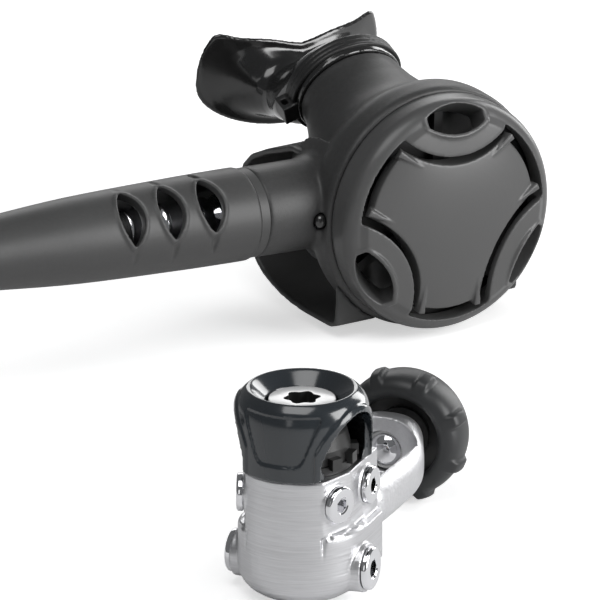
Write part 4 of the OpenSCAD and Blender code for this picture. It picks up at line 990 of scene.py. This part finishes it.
# Pieces that repeat, and the knob, as Geometry Nodes
class Layout(Nodes):
    # A Geometry Nodes tree with named inputs
    def __init__(self, name, inputs):
        super().__init__(bpy.data.node_groups.new(name, "GeometryNodeTree"))
        face = self.tree.interface
        self.sockets = {}
        for key, (kind, value) in inputs.items():
            made = face.new_socket(key, in_out="INPUT", socket_type=kind)
            if value is not None and kind != "NodeSocketObject":
                made.default_value = value
            self.sockets[key] = (made.identifier, value)
        face.new_socket("Geometry", in_out="OUTPUT", socket_type="NodeSocketGeometry")
        self.entry = self.tree.nodes.new("NodeGroupInput")
        self.exit = self.tree.nodes.new("NodeGroupOutput")

    def given(self, key):
        return Value(self, self.entry.outputs[key])

    def built(self, geometry, finish):
        # Makes the instances real, sets the finish and gives back a plain mesh
        real = self.node("GeometryNodeRealizeInstances", None, {"Geometry": geometry})
        clad = self.node("GeometryNodeSetMaterial", None, {"Geometry": real, "Material": finish})
        self.tree.links.new(clad.socket, self.exit.inputs["Geometry"])
        obj = temporary(bpy.data.meshes.new("layout"))
        step = obj.modifiers.new("layout", "NODES")
        step.node_group = self.tree
        for identifier, value in self.sockets.values():
            step[identifier] = value
        bpy.context.view_layer.update()
        return evaluated(obj)


def spots(places):
    # A mesh of single points; each carries the turn of what stands on it
    mesh = bpy.data.meshes.new("spots")
    mesh.from_pydata([m.to_translation() for m in places], [], [])
    turns = mesh.attributes.new("turn", "FLOAT_VECTOR", "POINT")
    for item, m in zip(turns.data, places):
        item.vector = m.to_euler()
    return temporary(mesh)


def repeated(name, shape, places, finish):
    pattern, stands = temporary(shape), spots(places)
    layout = Layout(name, {"Pattern": ("NodeSocketObject", pattern), "Spots": ("NodeSocketObject", stands),
                           "Size": ("NodeSocketFloat", 1.0)})
    piece = layout.node("GeometryNodeObjectInfo", None, {"Object": layout.given("Pattern")}, "Geometry")
    where = layout.node("GeometryNodeObjectInfo", None, {"Object": layout.given("Spots")}, "Geometry")
    turn = layout.node("GeometryNodeInputNamedAttribute", {"data_type": "FLOAT_VECTOR"}, {"Name": "turn"})
    turn = layout.node("FunctionNodeEulerToRotation", None, {"Euler": turn})
    made = layout.node("GeometryNodeInstanceOnPoints", None,
                       {"Points": where, "Instance": piece, "Rotation": turn, "Scale": layout.given("Size")})
    mesh = layout.built(made, finish)
    bpy.data.objects.remove(pattern)
    bpy.data.objects.remove(stands)
    return mesh


plugs = {
    "lowHead": 11.4,
    "highHead": 13.0,
    "lowThickness": 2.0,
    "highThickness": 1.9,
    "lowThread": 4.74,
    "highThread": 5.54,
    "lowSocket": 2.3,
    "highSocket": 2.8,
    "lowDepth": 8.0,
    "highDepth": 8.5,
    "gap": 0.12,
}


def plugShape(kind):
    head, thick = plugs[kind + "Head"] / 2, plugs[kind + "Thickness"]
    thread, depth, gap = plugs[kind + "Thread"] - 0.05, plugs[kind + "Depth"] - 0.15, plugs["gap"]
    key = plugs[kind + "Socket"]
    top = gap + thick
    line = [(0, -depth), (thread - 0.5, -depth), (thread, -depth + 0.5), (thread, -1.6),
            (thread - 1.25, -1.6), (thread - 1.25, gap), (head - 0.25, gap), (head, gap + 0.25),
            (head, top - 0.75), (head - 0.12, top - 0.4), (head - 0.4, top - 0.1), (head - 0.8, top),
            (0, top)]
    socket = [(key * cos(a), key * sin(a)) for a in [pi * i / 3 for i in range(6)]]
    hole = prism(socket, thick - 3.2, 8)
    ring = lathe([(0, top - 0.35), (key + 0.05, top - 0.35), (key + 0.5, top + 0.1), (0, top + 0.1)], 48)
    return cut(lathe(line, 96), [hole, ring])


def lowPorts(reach):
    s = stageBody
    places = []
    for side in (-1, 1):
        mirror = Matrix.Diagonal((1, -side, 1, 1))
        slanted = turned(-90 - s["lowTurn"], "Z") @ moved(reach, s["lowShift"], s["lowZ"]) @ turned(90, "Y")
        square = moved(s["lowBack"], -reach, s["lowZ"]) @ turned(90, "X")
        for place in (slanted, square):
            places.append(mirror @ place @ mirror)
    return places


def highPorts(reach):
    s = stageBody
    mirrors = [Matrix.Diagonal((1, -side, 1, 1)) for side in (-1, 1)]
    return [m @ moved(s["highU"], -reach, s["highZ"]) @ turned(90, "X") @ m for m in mirrors]


def makePlugs():
    low = repeated("low_plugs", plugShape("low"), lowPorts(stageBody["lowFace"]), finishes["chrome"])
    finished("low_plug_set", low, firstPlace, None, ["low_pressure_plugs"], crease=35)
    high = repeated("high_plugs", plugShape("high"), highPorts(stageBody["highFace"]), finishes["chrome"])
    finished("high_plug_set", high, firstPlace, None, ["high_pressure_plugs"], crease=35)


knob = {
    "diameter": 39,
    "width": 17,
    "from": 78,
    "bumps": 8,
    "bumpHeight": 1.5,
    "grip": 3.6,
    "screwTip": 67,
}


def makeKnob():
    r, w = knob["diameter"] / 2, knob["width"]
    line = eased([(r - 6.6, 2.2), (r - 6.2, 0.9), (r - 4.8, 0.1), (r - 3, 0.35), (r - 1.5, 1.5),
                  (r - 0.5, 3.6), (r - 0.15, w * 0.42), (r - 0.5, w - 5.4), (r - 1.5, w - 2.6),
                  (r - 3.2, w - 0.7), (r - 5.4, w)], 5)
    inner = r - knob["grip"]
    line = [(min(a, r), b) for a, b in line]
    line += [(r * 0.4, w + 0.45), (0.01, w + 0.55), (0.01, w - 0.9), (inner, w - 0.98), (inner, 3)]
    blank = temporary(lathe(line, 240))
    layout = Layout("knob_grip", {
        "Blank": ("NodeSocketObject", blank), "Bumps": ("NodeSocketFloat", float(knob["bumps"])),
        "Height": ("NodeSocketFloat", knob["bumpHeight"]), "Width": ("NodeSocketFloat", w)})
    shape = layout.node("GeometryNodeObjectInfo", None, {"Object": layout.given("Blank")}, "Geometry")
    place = layout.node("GeometryNodeInputPosition")
    x, y, z = [layout.node("ShaderNodeSeparateXYZ", None, {"Vector": place}, i) for i in range(3)]

    def maths(operation, *values):
        return layout.node("ShaderNodeMath", {"operation": operation}, dict(enumerate(values)))

    def faded(value, low, high):
        sockets = {"Value": value, "From Min": low, "From Max": high}
        return layout.node("ShaderNodeMapRange", {"interpolation_type": "SMOOTHSTEP"}, sockets)

    around = maths("ARCTAN2", y, x)
    wave = maths("COSINE", around * layout.given("Bumps") + pi)
    pad = faded(wave, 0.5, 0.85)
    off = maths("ABSOLUTE", z - layout.given("Width") * 0.3)
    along = faded(off, w * 0.3, w * 0.18)
    reach = maths("SQRT", x * x + y * y)
    outer = faded(reach, r - 3.6, r - 1.8)
    scale = 1 + pad * along * outer * layout.given("Height") / maths("MAXIMUM", reach, 1.0)
    moves = layout.node("ShaderNodeCombineXYZ", None, {"X": x * scale, "Y": y * scale, "Z": z})
    shaped = layout.node("GeometryNodeSetPosition", None, {"Geometry": shape, "Position": moves})
    mesh = outward(layout.built(shaped, finishes["knob"]))
    bpy.data.objects.remove(blank)
    finished("knob_cover", placed(mesh, onYoke(knob["from"])), firstPlace, "knob", ["knob_grip"],
             "knob")


# Turned metal
fittings = {
    "nutAt": 55,
    "nutHalf": 8.5,  # half its width across the flats
    "nutLength": 15,
    "nutBore": 7.15,
    "crimpAt": 76,
    "crimpLength": 27,
    "discDrop": 3.4,
    "keyRadius": 5,
    "keyWave": 0.55,
    "keyLobes": 6,
}


def makeTurned():
    f = fittings
    half, bore = f["nutHalf"], f["nutBore"]
    r = half / cos(radians(30))
    hexagon = [(r * cos(a), r * sin(a)) for a in [pi * i / 3 for i in range(6)]]
    nut = cut(prism(hexagon, 0, f["nutLength"]), [lathe([(half, 0), (20, 8), (20, -1), (half, -1)], 96)])
    nut = cut(nut, [lathe([(0, -1), (bore, -1), (bore, 12), (5.06, 12), (5.06, 20), (0, 20)], 64)])
    placed(nut, onHose(f["nutAt"]))
    finished("hose_swivel_nut", nut, secondPlace, "chrome", ["hose_nut"], crease=30)
    end = f["crimpLength"]
    crimp = eased([(7.5, end), (8, end - 1), (8, end * 0.78), (7.5, end * 0.72), (7.5, end * 0.56),
                   (8, end * 0.5), (7.5, end * 0.44), (7.5, end * 0.28), (8, end * 0.22), (8, 1), (7, 0)], 4)
    ferrule = lathe([(6.02, end)] + crimp + [(3.4, 0), (3.4, 1.2), (6.02, 1.2)])
    placed(ferrule, onHose(f["crimpAt"]))
    finished("hose_crimp", ferrule, secondPlace, "chrome", ["hose_ferrule"], crease=40)
    top = stageBody["top"] - f["discDrop"]
    disc = lathe([(0, top - 10.5), (8, top - 10.5), (8, top - 2.2), (9.7, top - 2.2), (10, top - 1.9),
                  (10, top - 0.5), (9.85, top - 0.15), (9.5, top), (0, top)], 128)
    key = []
    for a in [2 * pi * i / 120 for i in range(120)]:
        wide = f["keyRadius"] + f["keyWave"] * cos(f["keyLobes"] * a)
        key.append((wide * cos(a), wide * sin(a)))
    disc = cut(disc, [prism(key, top - 5, top + 1)])
    # The socket's walls and floor take the black finish as painted shade in the hollow; the rest of the disc
    # is white
    disc.materials.clear()
    disc.materials.append(finishes["disc"])
    disc.materials.append(finishes["dark"])
    for face in disc.polygons:
        socketPaintedShade = Vector(face.center[:2]).length < 5.6 and top - 6 < face.center.z < top - 0.1
        face.material_index = int(socketPaintedShade)
    finished("adjusting_disc", disc, firstPlace, None, ["adjusting_screw"], "adjuster", crease=35)
    screw = lathe([(0, 0), (2.2, 0), (2.6, 0.15), (4.7, 1.5), (5, 1.9), (5, 2.25), (4.3, 2.25),
                   (4.3, 3.15), (5, 3.2), (5, 24), (0, 24)], 96)
    placed(screw, onYoke(knob["screwTip"]))
    finished("screw_shaft", screw, firstPlace, "chrome", ["yoke_screw"], "knob", crease=30)


# Floor, light and finishes of the pieces kept as they are
def makeStudio():
    drop = studio["floorDrop"] + max(0, -cadBox[0][2])
    mesh = bpy.data.meshes.new("floor")
    far = studio["floorReach"]
    corners = [(-far, -far, -drop), (far, -far, -drop), (far, far, -drop), (-far, far, -drop)]
    mesh.from_pydata(corners, [], [(0, 1, 2, 3)])
    floor = bpy.data.objects.new("floor", mesh)
    scene.collection.objects.link(floor)
    # The camera sees the paper with a little glow, so its shadows stay faint
    paper = Finish("paperFloor", {"Base Color": (0.9, 0.9, 0.9, 1), "Roughness": 0.9})
    glow = paper.node("ShaderNodeEmission", None, {"Strength": studio["floorGlow"]})
    plain = Value(paper, paper.shader.outputs[0])
    shown = paper.node("ShaderNodeAddShader", None, {0: plain, 1: glow})
    rays = paper.node("ShaderNodeLightPath", None, None, "Is Camera Ray")
    both = paper.node("ShaderNodeMixShader", None, {0: rays, 1: plain, 2: shown})
    paper.tree.links.new(both.socket, paper.out.inputs["Surface"])
    mesh.materials.append(paper.material)
    for name, (place, size, watts) in studio["lamps"].items():
        areaLight(name, place, studio["lampTarget"], size, watts)
    world = bpy.data.worlds.new("white_room")
    scene.world = world
    world.use_nodes = True
    room = Nodes(world.node_tree)
    room.tree.nodes.clear()
    seen = room.node("ShaderNodeBackground", None, {"Color": (1, 1, 1, 1)})
    light = room.node("ShaderNodeBackground", None, {"Color": grey(studio["roomLight"], 0.04)})
    direct = room.node("ShaderNodeLightPath", None, None, "Is Camera Ray")
    through = room.node("ShaderNodeLightPath", None, None, "Is Transmission Ray")
    either = room.node("ShaderNodeMath", {"operation": "MAXIMUM"}, {0: direct, 1: through})
    mix = room.node("ShaderNodeMixShader", None, {0: either, 1: light, 2: seen})
    out = room.tree.nodes.new("ShaderNodeOutputWorld")
    room.tree.links.new(mix.socket, out.inputs["Surface"])
    scene.view_settings.view_transform = "Standard"


keptFinishes = {
    "steel": ["purge_spring", "demand_lever", "poppet_nut", "poppet_spring", "spring_pad", "main_spring",
              "push_pin", "high_pressure_spring", "filter_clip", "screw_clip"],
    "dark": ["retaining_ring", "balance_cap", "spring_carrier", "knob_hub"],
    "protector": ["inlet_collar"],
    "smoke": ["diaphragm", "exhaust_valve"],
    "nylon": ["diaphragm_disc", "poppet", "high_pressure_seat"],
    "chrome": ["valve_barrel", "orifice", "hose_stem", "hose_end_ferrule", "hose_end_fitting",
               "inlet_connector"],
    "rubber": ["poppet_seat", "orifice_o_ring", "hose_end_o_ring", "main_diaphragm", "low_pressure_o_rings",
               "high_pressure_o_rings"],
    "brass": ["diaphragm_plate", "high_pressure_poppet", "valve_crown"],
    "bronze": ["inlet_filter"],
    "mouthpiece": ["cover_lock_pin"],
}


def dressKept():
    for finish, nodes in keptFinishes.items():
        for node in nodes:
            obj = frame["nodes"][node]
            for slot in obj.material_slots:
                slot.link = "OBJECT"
                slot.material = finishes[finish]


for make in (makeStudio, makeCase, makeCover, makeButton, makeMouthpiece, makeTie, makeTee, makeProtector):
    make()
print("second stage ready")
for make in (makeBody, makeCap, makeYoke, makePlugs, makeKnob, makeTurned, dressKept):
    make()
print("first stage ready")
